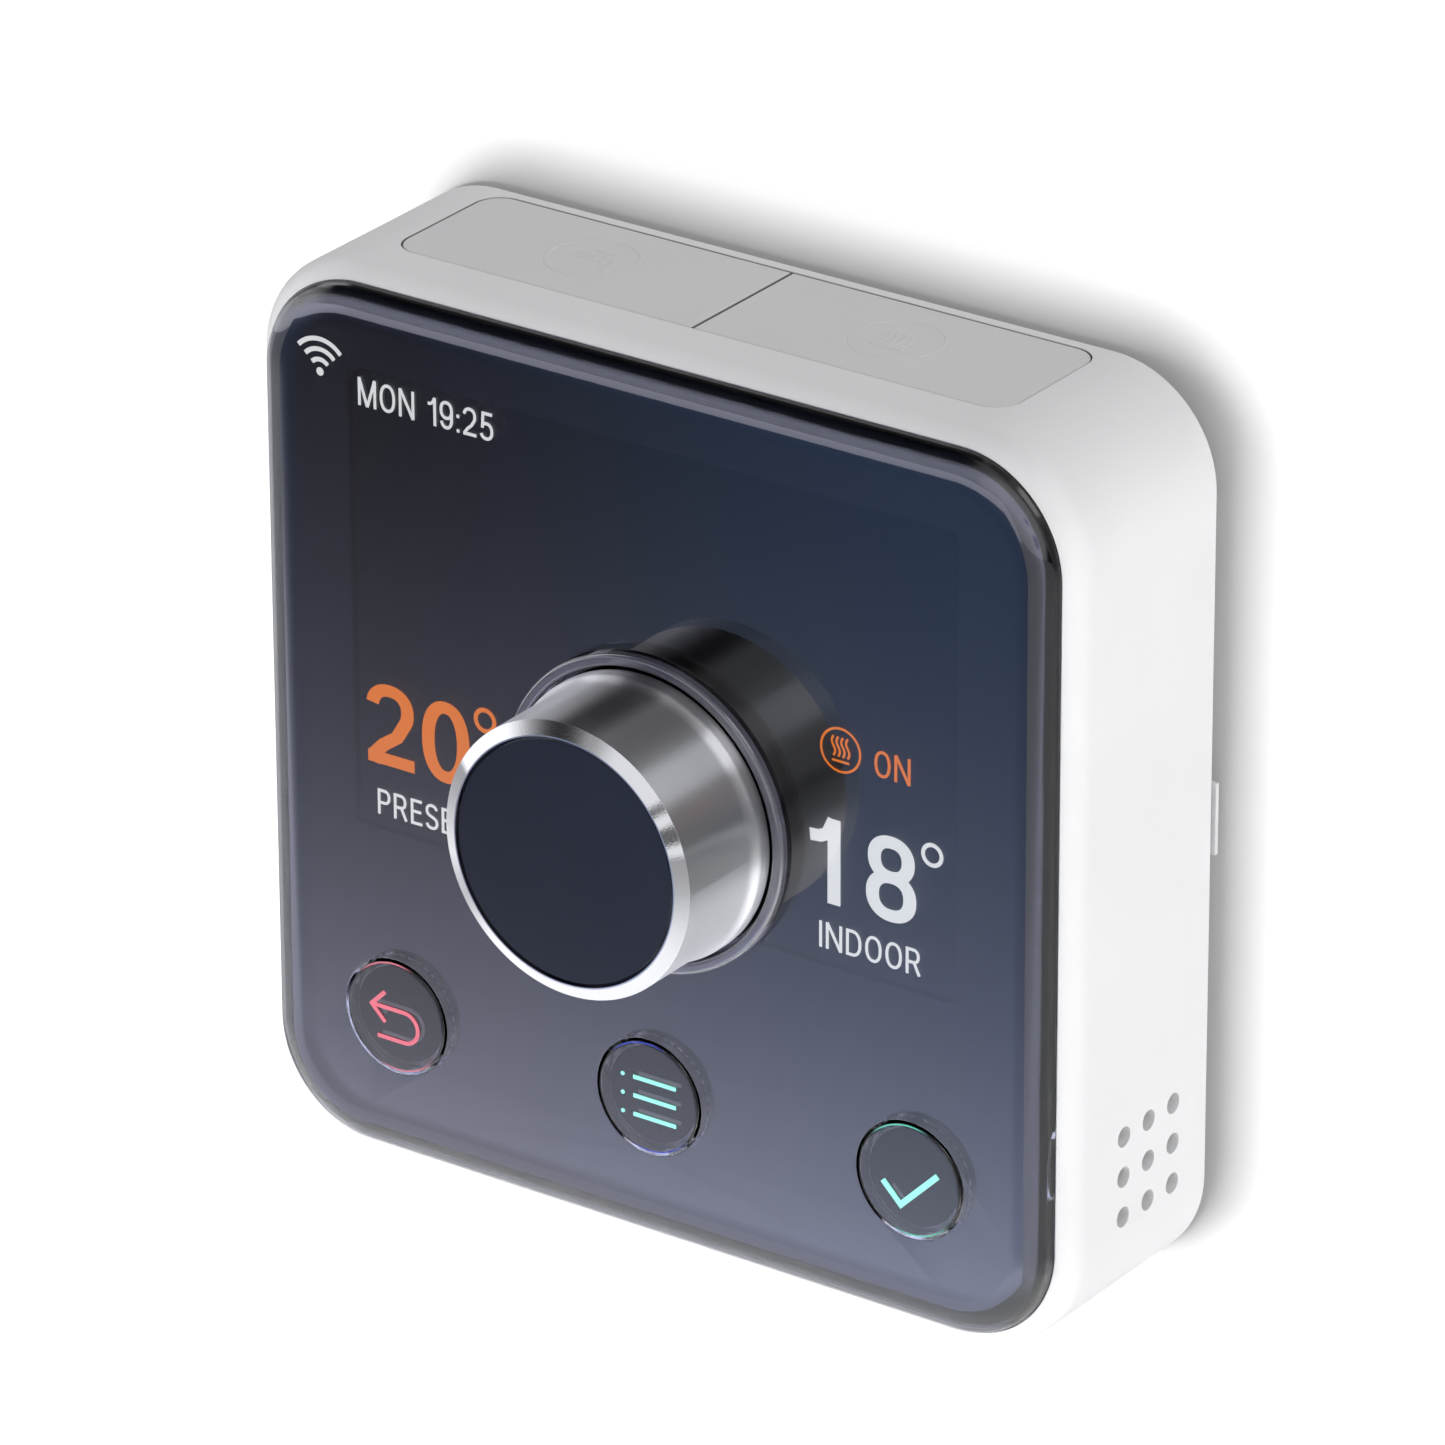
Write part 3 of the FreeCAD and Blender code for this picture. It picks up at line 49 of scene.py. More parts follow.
class Nodes:
    """Short calls for building one node tree."""

    def __init__(self, tree):
        self.tree = tree

    def add(self, kind, inputs=None, **settings):
        node = self.tree.nodes.new(kind)
        for key, value in settings.items():
            setattr(node, key, value)
        for key, value in (inputs or {}).items():
            if isinstance(value, bpy.types.NodeSocket):
                self.tree.links.new(value, node.inputs[key])
            else:
                node.inputs[key].default_value = value
        return node

    def noise(self, vector, scale, detail=2.0, rough=0.5):
        node = self.add("ShaderNodeTexNoise",
                        {"Vector": vector, "Scale": scale, "Detail": detail, "Roughness": rough})
        return node.outputs["Fac"]

    def spread(self, value, low, high, start=0.3, end=0.7, smooth=False):
        node = self.add("ShaderNodeMapRange",
                        {"Value": value, "From Min": start, "From Max": end,
                         "To Min": low, "To Max": high},
                        interpolation_type="SMOOTHSTEP" if smooth else "LINEAR")
        return node.outputs["Result"]

    def mix(self, factor, a, b):
        node = self.add("ShaderNodeMix", data_type="RGBA")
        for socket, value in ((node.inputs[0], factor), (node.inputs[6], a), (node.inputs[7], b)):
            if isinstance(value, bpy.types.NodeSocket):
                self.tree.links.new(value, socket)
            elif isinstance(value, tuple):
                socket.default_value = (*value, 1.0)
            else:
                socket.default_value = value
        return node.outputs[2]

    def math(self, operation, a, b=0.0):
        node = self.add("ShaderNodeMath", {0: a, 1: b}, operation=operation)
        return node.outputs[0]

    def split(self, vector):
        return self.add("ShaderNodeSeparateXYZ", {0: vector}).outputs

    def bump(self, height, size):
        node = self.add("ShaderNodeBump", {"Height": height, "Distance": size, "Strength": 1.0})
        return node.outputs["Normal"]


def material(name, colour, other, rough, rough_change=0.04, patch=60.0, grain=3000.0,
             grain_high=0.000004, **sockets):
    """A Principled material with drifting colour, uneven roughness and a fine bumpy grain.

    patch and grain are the scales of the two noises, grain_high is the grain's height in
    metres, and sockets sets other inputs of the shader."""
    made = bpy.data.materials.new(name)
    made.use_nodes = True
    nodes = Nodes(made.node_tree)
    shader = made.node_tree.nodes["Principled BSDF"]
    place = nodes.add("ShaderNodeTexCoord").outputs["Object"]
    drift = nodes.spread(nodes.noise(place, patch, 3.0), 0.0, 1.0)
    fine = nodes.noise(place, grain, 3.0, 0.6)
    link = made.node_tree.links.new
    link(nodes.mix(drift, colour, other), shader.inputs["Base Color"])
    link(nodes.spread(fine, rough - rough_change, rough + rough_change),
         shader.inputs["Roughness"])
    if grain_high:
        link(nodes.bump(fine, grain_high), shader.inputs["Normal"])
    for key, value in sockets.items():
        label = key.replace("_", " ").title().replace("Ior", "IOR")
        shader.inputs[label].default_value = value
    return made, nodes, shader, place


def plain(*args, **named):
    """The same, when only the material itself is needed."""
    return material(*args, **named)[0]


WHITE = (0.80, 0.80, 0.805)
MATERIALS = {
    "casing_white": plain("casing_satin", WHITE, (0.78, 0.78, 0.785), 0.42, grain=5200.0,
                          grain_high=0.000002, coat_weight=0.15, coat_roughness=0.3),
    "button_white": plain("button_satin", (0.70, 0.70, 0.70), (0.68, 0.68, 0.685), 0.46,
                          grain=5200.0, grain_high=0.000002),
    "plate_white": plain("plate_moulded", (0.72, 0.72, 0.72), (0.68, 0.68, 0.69), 0.5,
                         grain=2400.0, grain_high=0.00001),
    "lens_smoked": plain("lens_smoked_glass", (0.50, 0.52, 0.60), (0.48, 0.50, 0.59), 0.012,
                         0.004, grain=400.0, grain_high=0.0, transmission_weight=1.0,
                         ior=1.49, coat_weight=0.5, coat_ior=1.8, coat_roughness=0.01),
    "mask_black": plain("mask_ink", (0.010, 0.011, 0.017), (0.012, 0.013, 0.020), 0.35,
                        grain_high=0.0),
    "gasket_black": plain("gasket_foam", (0.012, 0.012, 0.013), (0.02, 0.02, 0.02), 0.85,
                          grain=1800.0, grain_high=0.00004),
    "clear_plastic": plain("clear_acrylic", (0.80, 0.82, 0.88), (0.78, 0.80, 0.87), 0.02, 0.01,
                           grain=900.0, grain_high=0.0, transmission_weight=1.0, ior=1.49,
                           coat_weight=0.5, coat_ior=1.8, coat_roughness=0.01),
    "insert_dark": plain("insert_smoke", (0.05, 0.052, 0.062), (0.06, 0.062, 0.075), 0.3),
    "picture_red": plain("picture_red_ink", (0.76, 0.15, 0.21), (0.66, 0.12, 0.17), 0.35,
                         emission_color=(0.80, 0.22, 0.28, 1.0), emission_strength=0.22),
    "picture_aqua": plain("picture_aqua_ink", (0.28, 0.84, 0.72), (0.24, 0.76, 0.64), 0.35,
                          emission_color=(0.40, 0.88, 0.78, 1.0), emission_strength=0.30),
    "cap_dark": plain("cap_navy_gloss", (0.012, 0.014, 0.026), (0.014, 0.017, 0.030), 0.06, 0.02,
                      grain=500.0, grain_high=0.0, specular_ior_level=0.35),
    "steel": plain("steel_plated", (0.62, 0.62, 0.60), (0.52, 0.52, 0.50), 0.32, 0.08,
                   grain=1500.0, metallic=1.0),
    "nickel_brass": plain("nickel_brass", (0.60, 0.58, 0.52), (0.50, 0.48, 0.43), 0.28, 0.08,
                          grain=1500.0, metallic=1.0),
    "board_green": plain("board_green", (0.02, 0.13, 0.06), (0.03, 0.17, 0.08), 0.35,
                         patch=400.0, grain=1200.0, grain_high=0.00002),
    "chip_black": plain("chip_black", (0.015, 0.015, 0.016), (0.022, 0.022, 0.023), 0.5,
                        grain=4000.0, grain_high=0.00001),
    "display_glass": plain("display_glass", (0.002, 0.0022, 0.003), (0.003, 0.003, 0.004), 0.12,
                           0.03, grain=600.0, grain_high=0.0),
    "light_white": plain("light_guide", (0.75, 0.76, 0.78), (0.70, 0.71, 0.73), 0.4),
    "frame_black": plain("frame_black", (0.016, 0.016, 0.018), (0.022, 0.022, 0.024), 0.5),
    "ribbon_tan": plain("ribbon_tan", (0.42, 0.26, 0.10), (0.36, 0.22, 0.08), 0.4),
    "lamp_clear": plain("lamp_clear", (0.85, 0.84, 0.78), (0.80, 0.79, 0.73), 0.15),
    "hub_grey": plain("hub_grey", (0.16, 0.16, 0.165), (0.20, 0.20, 0.205), 0.5),
    "cell_case": plain("cell_wrap", (0.02, 0.02, 0.022), (0.03, 0.03, 0.033), 0.3),
}

BEVEL_START, BEVEL_BLEND = 40.63, 0.02  # where the knob's polished bevel starts, as d
BEVEL_ROUGH = 0.045


def knob_material():
    """Bead-blasted side with a polished, almost mirror-like bevel at the front."""
    made, nodes, shader, place = material("knob_blasted_metal", (0.70, 0.705, 0.735),
                                          (0.66, 0.665, 0.69), 0.35, 0.03, patch=90.0,
                                          grain=5200.0, grain_high=0.0000035, metallic=1.0)
    depth = nodes.math("MULTIPLY", nodes.split(place)[1], -1.0 / MM)
    polished = nodes.spread(depth, 0.0, 1.0, BEVEL_START - BEVEL_BLEND, BEVEL_START + BEVEL_BLEND)
    link = made.node_tree.links.new
    blasted = shader.inputs["Roughness"].links[0].from_socket
    rough = nodes.add("ShaderNodeMix", data_type="FLOAT")
    link(polished, rough.inputs[0])
    link(blasted, rough.inputs[2])
    rough.inputs[3].default_value = BEVEL_ROUGH
    link(rough.outputs[0], shader.inputs["Roughness"])
    shader.inputs["Anisotropic"].default_value = 1.0
    shader.inputs["Anisotropic Rotation"].default_value = 0.25
    around = nodes.add("ShaderNodeTangent", direction_type="RADIAL", axis="Y")
    link(around.outputs[0], shader.inputs["Tangent"])
    return made


# painted shade: a dark grey stands in for the shade in the narrow seam round the top buttons
PAINTED_SEAM_SHADE = (0.22, 0.22, 0.22)
# limits of the painted shade in the seam round the top buttons, each blended from the first number to
# the second
BUTTON_TOP = (48.80, 48.93)
CUT_OUT_TOP = (48.86, 48.97)
CUT_OUT_FLOOR = (46.2, 46.3)
CUT_OUT_SIDE = (36.9, 37.0)
CUT_OUT_FRONT = (-19.8, -19.7)
CUT_OUT_BACK = (-1.8, -1.7)


def seam_shade_material(base_name, inside):
    """Paints shade into a moulded plastic's colour where it faces a neighbour across the narrow seam.
    """
    made = MATERIALS[base_name]
    nodes = Nodes(made.node_tree)
    shader = made.node_tree.nodes["Principled BSDF"]
    colour = shader.inputs["Base Color"].links[0].from_socket
    made.node_tree.links.new(nodes.mix(inside(nodes), colour, PAINTED_SEAM_SHADE),
                             shader.inputs["Base Color"])


def above(nodes, value, limit):
    return nodes.spread(value, 0.0, 1.0, limit[0] * MM, limit[1] * MM)


def below(nodes, value, limit):
    return nodes.spread(value, 1.0, 0.0, limit[0] * MM, limit[1] * MM)


def button_side_shade(nodes):
    """1 on the upright walls of the top buttons, where seam shade is painted."""
    place = nodes.split(nodes.add("ShaderNodeTexCoord").outputs["Object"])
    return below(nodes, place[2], BUTTON_TOP)


def cut_out_wall_shade(nodes):
    """1 on the walls of the cut-out for the top buttons, where seam shade is painted."""
    place = nodes.split(nodes.add("ShaderNodeTexCoord").outputs["Object"])
    under_top = below(nodes, place[2], CUT_OUT_TOP)
    over_floor = above(nodes, place[2], CUT_OUT_FLOOR)
    across = below(nodes, nodes.math("ABSOLUTE", place[0]), CUT_OUT_SIDE)
    front = above(nodes, place[1], CUT_OUT_FRONT)
    back = below(nodes, place[1], CUT_OUT_BACK)
    return nodes.math("MULTIPLY", nodes.math("MULTIPLY", under_top, over_floor),
                      nodes.math("MULTIPLY", across, nodes.math("MULTIPLY", front, back)))


# painted shade on the top buttons' sides and on the walls of their cut-out
seam_shade_material("button_white", button_side_shade)
seam_shade_material("casing_white", cut_out_wall_shade)
MATERIALS["knob_metal"] = knob_material()

COLLAR = plain("collar_smoke", (0.16, 0.16, 0.21), (0.14, 0.14, 0.19), 0.07, 0.02, grain=700.0,
               grain_high=0.0, transmission_weight=0.35, ior=1.49, coat_weight=1.0, coat_ior=1.8)

# each CAD slot is named after its material; only the clear collar has a look of its own
for node in NODES.values():
    for slot in node.material_slots:
        slot.material = MATERIALS[slot.material.name.split(".")[0]]
NODES["dial_collar"].material_slots[0].material = COLLAR


# ---------------------------------------------------------------- mesh helpers

def new_piece(name, mesh, body, look):
    """A visible piece that rides on body, with look as its material."""
    piece = bpy.data.objects.new(name, mesh)
    SCENE.collection.objects.link(piece)
    piece.data.materials.clear()
    piece.data.materials.append(look)
    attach(piece, body)
    return piece


def rounded_square(half, radius, corner_steps=20):
    """Points of a rounded square, anticlockwise as seen from the front, as (x, z)."""
    points = []
    for quarter in range(4):
        middle = math.radians(45 + 90 * quarter)
        cx = math.copysign(half - radius, math.cos(middle))
        cz = math.copysign(half - radius, math.sin(middle))
        for step in range(corner_steps + 1):
            turn = math.radians(90 * quarter + 90 * step / corner_steps)
            points.append((cx + radius * math.cos(turn), cz + radius * math.sin(turn)))
    return points


def circle(cx, cz, radius, steps=72):
    """Points of a circle, anticlockwise as seen from the front, as (x, z)."""
    return [(cx + radius * math.cos(math.tau * i / steps),
             cz + radius * math.sin(math.tau * i / steps)) for i in range(steps)]


def ring_verts(bm, points, d):
    return [bm.verts.new((x * MM, -d * MM, z * MM)) for x, z in points]


def bridge(bm, first, second):
    """A band of faces between two closed rings."""
    count = len(first)
    for i in range(count):
        j = (i + 1) % count
        bm.faces.new((first[i], first[j], second[j], second[i]))


def loop_edges(bm, ring):
    edges = []
    for i, vert in enumerate(ring):
        after = ring[(i + 1) % len(ring)]
        edges.append(bm.edges.get((vert, after)) or bm.edges.new((vert, after)))
    return edges


def fill(bm, rings):
    """Closes the first ring, leaving the others open as holes."""
    edges = [e for ring in rings for e in loop_edges(bm, ring)]
    return bmesh.ops.triangle_fill(bm, edges=edges, use_beauty=True)


def mesh_from(bm, name, sharp=30.0):
    """A smooth mesh with edges above the sharp angle, in degrees, kept crisp."""
    bmesh.ops.recalc_face_normals(bm, faces=bm.faces)
    mesh = bpy.data.meshes.new(name)
    bm.to_mesh(mesh)
    bm.free()
    mesh.shade_smooth()
    mesh.set_sharp_from_angle(angle=math.radians(sharp))
    return mesh


# ---------------------------------------------------------------- front lens

LENS_HALF, LENS_CORNER = 47.3, 11.3
LENS_BACK, LENS_EDGE, LENS_FRONT = 25.26, 25.5, 27.3  # d of the back, of the edge, of the face
EDGE_WIDE, EDGE_TIGHT = 3.9, 1.0  # inset where the wide arc ends, radius of the tight arc
TIGHT_STEPS, WIDE_STEPS = 8, 18
FLAT_START = 4.1  # inset at which the flat face starts
SOFT, SOFT_MIDDLE = 0.12, 0.035  # a softened rim: its radius, and its middle point's distance
BUTTON_X, BUTTON_Z = (-31.5, 0.0, 31.5), -31.5
BUTTON_HOLE, SHAFT_HOLE = 6.36, 4.6  # radii


def edge_profile():
    """(inset, d) along the lens's soft front edge: a tight arc, then a wide one."""
    deep = LENS_FRONT - LENS_EDGE
    wide = (EDGE_WIDE ** 2 + deep ** 2 - 2 * EDGE_WIDE * EDGE_TIGHT) / (2 * (deep - EDGE_TIGHT))
    join = math.atan2(wide - deep, EDGE_WIDE - EDGE_TIGHT)
    tight = [(EDGE_TIGHT - EDGE_TIGHT * math.cos(join * i / TIGHT_STEPS),
              LENS_EDGE + EDGE_TIGHT * math.sin(join * i / TIGHT_STEPS))
             for i in range(TIGHT_STEPS + 1)]
    gentle = []
    for i in range(1, WIDE_STEPS + 1):
        turn = join + (math.pi / 2 - join) * i / WIDE_STEPS
        gentle.append((EDGE_WIDE - wide * math.cos(turn),
                       LENS_FRONT - wide + wide * math.sin(turn)))
    return tight + gentle


def make_lens():
    """The smoked lens with its holes for the three buttons and the dial's shaft."""
    bm = bmesh.new()
    profile = [(SOFT, LENS_BACK), (0.0, LENS_BACK + SOFT), *edge_profile(),
               (FLAT_START, LENS_FRONT)]
    rings = [ring_verts(bm, rounded_square(LENS_HALF - s, LENS_CORNER - s), d)
             for s, d in profile]
    for first, second in zip(rings, rings[1:]):
        bridge(bm, first, second)
    fronts, backs = [rings[-1]], [rings[0]]
    holes = [(x, BUTTON_Z, BUTTON_HOLE) for x in BUTTON_X] + [(0, 0, SHAFT_HOLE)]
    hole_profile = ((0.0, LENS_BACK), (0.0, LENS_FRONT - SOFT),
                    (SOFT_MIDDLE, LENS_FRONT - SOFT_MIDDLE), (SOFT, LENS_FRONT))
    for cx, cz, radius in holes:
        ring_list = [ring_verts(bm, circle(cx, cz, radius + grow), d)
                     for grow, d in hole_profile]
        for first, second in zip(ring_list, ring_list[1:]):
            bridge(bm, first, second)
        backs.append(ring_list[0])
        fronts.append(ring_list[-1])
    fill(bm, fronts)
    fill(bm, backs)
    mesh = mesh_from(bm, "lens", 40.0)
    piece = new_piece("smoked_lens", mesh, "unit", MATERIALS["lens_smoked"])
    steady = piece.modifiers.new("flat_face_normals", "WEIGHTED_NORMAL")
    steady.weight = 100
    steady.keep_sharp = True
    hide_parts("front_lens")


make_lens()


# ---------------------------------------------------------------- readouts

READ_D, READ_THICK = 24.86, 0.06  # just in front of the display panel
SHIFT_X, SHIFT_Z = 0.24, 0.19  # the lens bends the view, so the readouts lie this far aside
GLOW_DIM = 0.9  # the darkest part of a readout against its brightest


def glow(name, colour, strength):
    """A lit colour, slightly uneven, on a near-black base."""
    made, nodes, shader, place = material(name, (0.006, 0.006, 0.006), (0.009, 0.009, 0.009), 0.5)
    shader.inputs["Emission Strength"].default_value = strength
    uneven = nodes.spread(nodes.noise(place, 9000.0, 1.0), 0.0, 1.0)
    made.node_tree.links.new(nodes.mix(uneven, colour, tuple(c * GLOW_DIM for c in colour)),
                             shader.inputs["Emission Color"])
    return made


ORANGE = glow("readout_orange", (1.0, 0.225, 0.0), 1.62)
PALE = glow("readout_white", (1.0, 0.98, 0.86), 1.66)


def oval(cx, cy, rx, ry, start=0.0, end=360.0, steps=44, power=2.25):
    """Part of a slightly squared oval."""
    points = []
    for i in range(steps + 1):
        turn = math.radians(start + (end - start) * i / steps)
        c, s = math.cos(turn), math.sin(turn)
        points.append((cx + rx * math.copysign(abs(c) ** (2 / power), c),
                       cy + ry * math.copysign(abs(s) ** (2 / power), s)))
    return points


def glyphs(h):
    """Plain sans letters one unit high as (width, stroke centre lines), for half-width h.

    The numbers below are the letters' own proportions."""
    low, top, w = h, 1 - h, 0.56
    right, mid, waist = w - h, w / 2, 0.52
    bowl = [(h, top), (0.30, top), *oval(0.30, (top + 0.47) / 2, right - 0.30, (top - 0.47) / 2,
                                         90, -90, 20), (h, 0.47)]
    stem = [(h, 0), (h, 1)]
    return {
        "0": (w, [oval(mid, 0.5, mid - h, 0.5 - h)]),
        "O": (0.66, [oval(0.33, 0.5, 0.33 - h, 0.5 - h)]),
        "1": (0.35, [[(0.35 - h, 0), (0.35 - h, 1)],
                     [(0.01, 0.755), (0.12, 0.765), (0.21, 0.82), (0.35 - h, 1.0 - 0.2 * h)]]),
        "2": (w, [[*oval(mid, 0.70, mid - h, 0.30 - h, 172, -28, 30), (0.36, 0.38),
                   (0.20, 0.25), (0.10, 0.13), (h + 0.01, 0.0)],
                  [(0.01, low), (w, low)]]),
        "5": (w, [[(0.09, top), (0.52, top)], [(0.11 + h / 2, 1), (0.05 + h, 0.42)],
                  [(0.06 + h, 0.50), *oval(0.27, 0.325, w - h - 0.27, 0.325 - h, 118, -158, 30)]]),
        "8": (w, [oval(mid, (waist + top) / 2, mid - h - 0.02, (top - waist) / 2),
                  oval(mid, (waist + low) / 2, mid - h, (waist - low) / 2)]),
        "9": (w, [oval(mid, 0.67, mid - h, 0.33 - h),
                  [(right, 0.70), (right, 0.55), *oval(mid, 0.40, mid - h, 0.40 - h, -5, -158, 26)]]),
        ":": (2 * h, [[(h, 0.0), (h, 2.1 * h)], [(h, 0.52), (h, 0.52 + 2.1 * h)]]),
        "M": (0.78, [stem, [(0.78 - h, 0), (0.78 - h, 1)], [(h, 1), (0.39, 0)],
                     [(0.78 - h, 1), (0.39, 0)]]),
        "N": (0.66, [stem, [(0.66 - h, 0), (0.66 - h, 1)], [(h, 1), (0.66 - h, 0)]]),
        "P": (w, [stem, bowl]),
        "R": (0.60, [stem, bowl, [(0.33, 0.47), (0.55, 0)]]),
        "E": (0.50, [stem, [(h, top), (0.50, top)], [(h, 0.52), (0.46, 0.52)],
                     [(h, low), (0.50, low)]]),
        "S": (w, [[*oval(mid, 0.735, mid - h - 0.01, 0.265 - h, 12, 235, 26),
                   *oval(mid, 0.265, mid - h, 0.265 - h, 62, -168, 26)]]),
        "T": (0.52, [[(0.0, top), (0.52, top)], [(0.26, 0), (0.26, 1)]]),
        "I": (2 * h, [stem]),
        "D": (0.62, [stem, [(h, top), (0.26, top),
                            *oval(0.26, 0.5, 0.62 - h - 0.26, 0.5 - h, 90, -90, 26), (h, low)]]),
        " ": (0.26, []),
    }


def ribbon(bm, points, half, place, thick):
    """One flat stroke with square ends; place turns (u, v, height) into a point."""
    closed = math.dist(points[0], points[-1]) < 1e-6
    if closed:
        points = points[:-1]
    count = len(points)
    sides = []
    for i, (u, v) in enumerate(points):
        before = points[i - 1] if closed or i else points[0]
        after = points[(i + 1) % count] if closed or i < count - 1 else points[i]
        du, dv = after[0] - before[0], after[1] - before[1]
        size = math.hypot(du, dv)
        nu, nv = -dv / size * half, du / size * half
        sides.append([bm.verts.new(place(u + k * nu, v + k * nv, z))
                      for k, z in ((1, 0), (-1, 0), (-1, thick), (1, thick))])
    for i in range(count if closed else count - 1):
        bridge(bm, sides[i], sides[(i + 1) % count])
    if not closed:
        bm.faces.new(sides[0])
        bm.faces.new(sides[-1][::-1])


def merged(meshes, name):
    """One mesh from overlapping closed shells, with nothing left inside it."""
    parts = [bpy.data.objects.new(name, mesh) for mesh in meshes]
    others = bpy.data.collections.new(name)
    SCENE.collection.children.link(others)
    SCENE.collection.objects.link(parts[0])
    for part in parts[1:]:
        others.objects.link(part)
    cut = parts[0].modifiers.new("union", "BOOLEAN")
    cut.operation = "UNION"
    cut.operand_type = "COLLECTION"
    cut.solver = "EXACT"
    cut.collection = others
    cut.use_self = True
    graph = bpy.context.evaluated_depsgraph_get()
    result = bpy.data.meshes.new_from_object(parts[0].evaluated_get(graph))
    for part in parts:
        bpy.data.objects.remove(part)
    bpy.data.collections.remove(others)
    return result


def text(name, words, left, right, base, high, look, stroke=0.108, gap=0.165):
    """Flat letters on the display that fill left to right and stand high above base.

    The strokes are joined in millimetres, where the union is steady, and then scaled."""
    font = glyphs(stroke / 2)
    length = sum(font[c][0] + gap for c in words) - gap
    wide = (right - left) / length
    start = 0.0
    shells = []
    for letter in words:
        width, lines = font[letter]

        def place(u, v, z):
            return (left + SHIFT_X + (start + u) * wide, -(READ_D + z),
                    base + SHIFT_Z + v * high)

        for line in lines:
            bm = bmesh.new()
            ribbon(bm, line, stroke / 2, place, READ_THICK)
            shells.append(mesh_from(bm, name))
        start += width + gap
    mesh = merged(shells, name)
    mesh.transform(Matrix.Scale(MM, 4))
    return new_piece(name, mesh, "unit", look)


def strokes(name, lines, width, high, matrix, body, look):
    """Rounded strokes along lines of (u, v) points, laid on a plane by matrix (mm to metres)."""
    curve = bpy.data.curves.new(name, "CURVE")
    curve.dimensions = "3D"
    curve.bevel_depth = width / 2
    curve.bevel_resolution = 3
    curve.use_fill_caps = True
    for closed, points in lines:
        spline = curve.splines.new("POLY")
        spline.points.add(len(points) - 1)
        for point, (u, v) in zip(spline.points, points):
            point.co = (u, v, 0.0, 1.0)
        spline.use_cyclic_u = closed
    source = bpy.data.objects.new(name, curve)
    SCENE.collection.objects.link(source)
    graph = bpy.context.evaluated_depsgraph_get()
    mesh = bpy.data.meshes.new_from_object(source.evaluated_get(graph))
    bpy.data.objects.remove(source)
    flat = Matrix.Diagonal((1, 1, 2 * high / width, 1))
    mesh.transform(matrix @ flat)
    mesh.shade_smooth()
    return new_piece(name, mesh, body, look)


def front_at(x, z, d):
    """u to +X, v to +Z, height towards the viewer."""
    return (Matrix.Translation((x * MM, -d * MM, z * MM))
            @ Matrix(((MM, 0, 0, 0), (0, 0, -MM, 0), (0, MM, 0, 0), (0, 0, 0, 1))))


def top_at(x, z, d):
    """u to +X, v to the wall, height upwards."""
    return (Matrix.Translation((x * MM, -d * MM, z * MM))
            @ Matrix(((MM, 0, 0, 0), (0, MM, 0, 0), (0, 0, MM, 0), (0, 0, 0, 1))))


def arc(cx, cy, radius, start, end, steps=24):
    """Points of an arc from one angle to another, in degrees."""
    return [(cx + radius * math.cos(math.radians(start + (end - start) * i / steps)),
             cy + radius * math.sin(math.radians(start + (end - start) * i / steps)))
            for i in range(steps + 1)]


def wave(x, low, high, swing, steps=24):
    """One upright heat wave."""
    return [(x + swing * math.sin(math.tau * i / steps), low + (high - low) * i / steps)
            for i in range(steps + 1)]


# name, words, left, right, base, height, colour, and for the large ones stroke and gap
text("readout_clock", "MON 19:25", -36.2, -19.6, 34.2, 3.0, PALE)
text("readout_set", "20", -35.9, -23.1, -4.55, 8.95, ORANGE, 0.145, 0.10)
text("readout_set_label", "PRESET", -34.7, -23.4, -10.2, 2.8, PALE)
text("readout_state", "ON", 25.9, 30.1, 10.2, 2.85, ORANGE)
text("readout_room", "18", 18.2, 30.85, -5.0, 9.2, PALE, 0.142, 0.29)
text("readout_room_label", "INDOOR", 19.4, 31.4, -10.0, 2.85, PALE)


def readout_strokes(name, lines, width, x, z, look):
    """Round strokes on the display, in the same plane as the letters."""
    return strokes(name, lines, width, READ_THICK / 2,
                   front_at(x + SHIFT_X, z + SHIFT_Z, READ_D + READ_THICK / 2), "unit", look)


readout_strokes("readout_set_degree", [(True, circle(0, 0, 1.15, 40))], 0.50, -21.1, 3.65, ORANGE)
readout_strokes("readout_room_degree", [(True, circle(0, 0, 1.08, 40))], 0.45, 32.7, 3.5, PALE)
HEAT = [(False, wave(x, -0.72, 1.38, 0.2)) for x in (-0.84, -0.28, 0.28, 0.84)]
readout_strokes("readout_heating_icon",
                [(True, circle(0, 0, 2.3, 56)), *HEAT, (False, [(-1.0, -1.2), (1.0, -1.2)])],
                0.26, 21.9, 11.85, ORANGE)

# a generic wireless mark in the top left corner
strokes("wireless_mark", [(False, arc(0, -1.3, r, 42, 138)) for r in (1.3, 2.4, 3.5)]
        + [(True, circle(0, -1.3, 0.2, 24))], 0.5, 0.015,
        front_at(-40.4, 38.3, 25.225), "unit", PALE)

# ---------------------------------------------------------------- button rims

# painted highlights: each button's black rim glows in a colour on two opposite sides
RIM_R, RIM_D = 5.93, 27.34
RIM_WIDE, RIM_HIGH = 0.17, 0.07
RIM_HIGHLIGHT_COLOURS = ((0.62, 0.16, 0.22), (0.02, 0.04, 0.40), (0.10, 0.52, 0.40))
RIM_HIGHLIGHT_GLOW = 1.1
HIGHLIGHT_TURN = 76  # degrees by which the two painted highlights are turned
KEYS = ("back", "menu", "confirm")


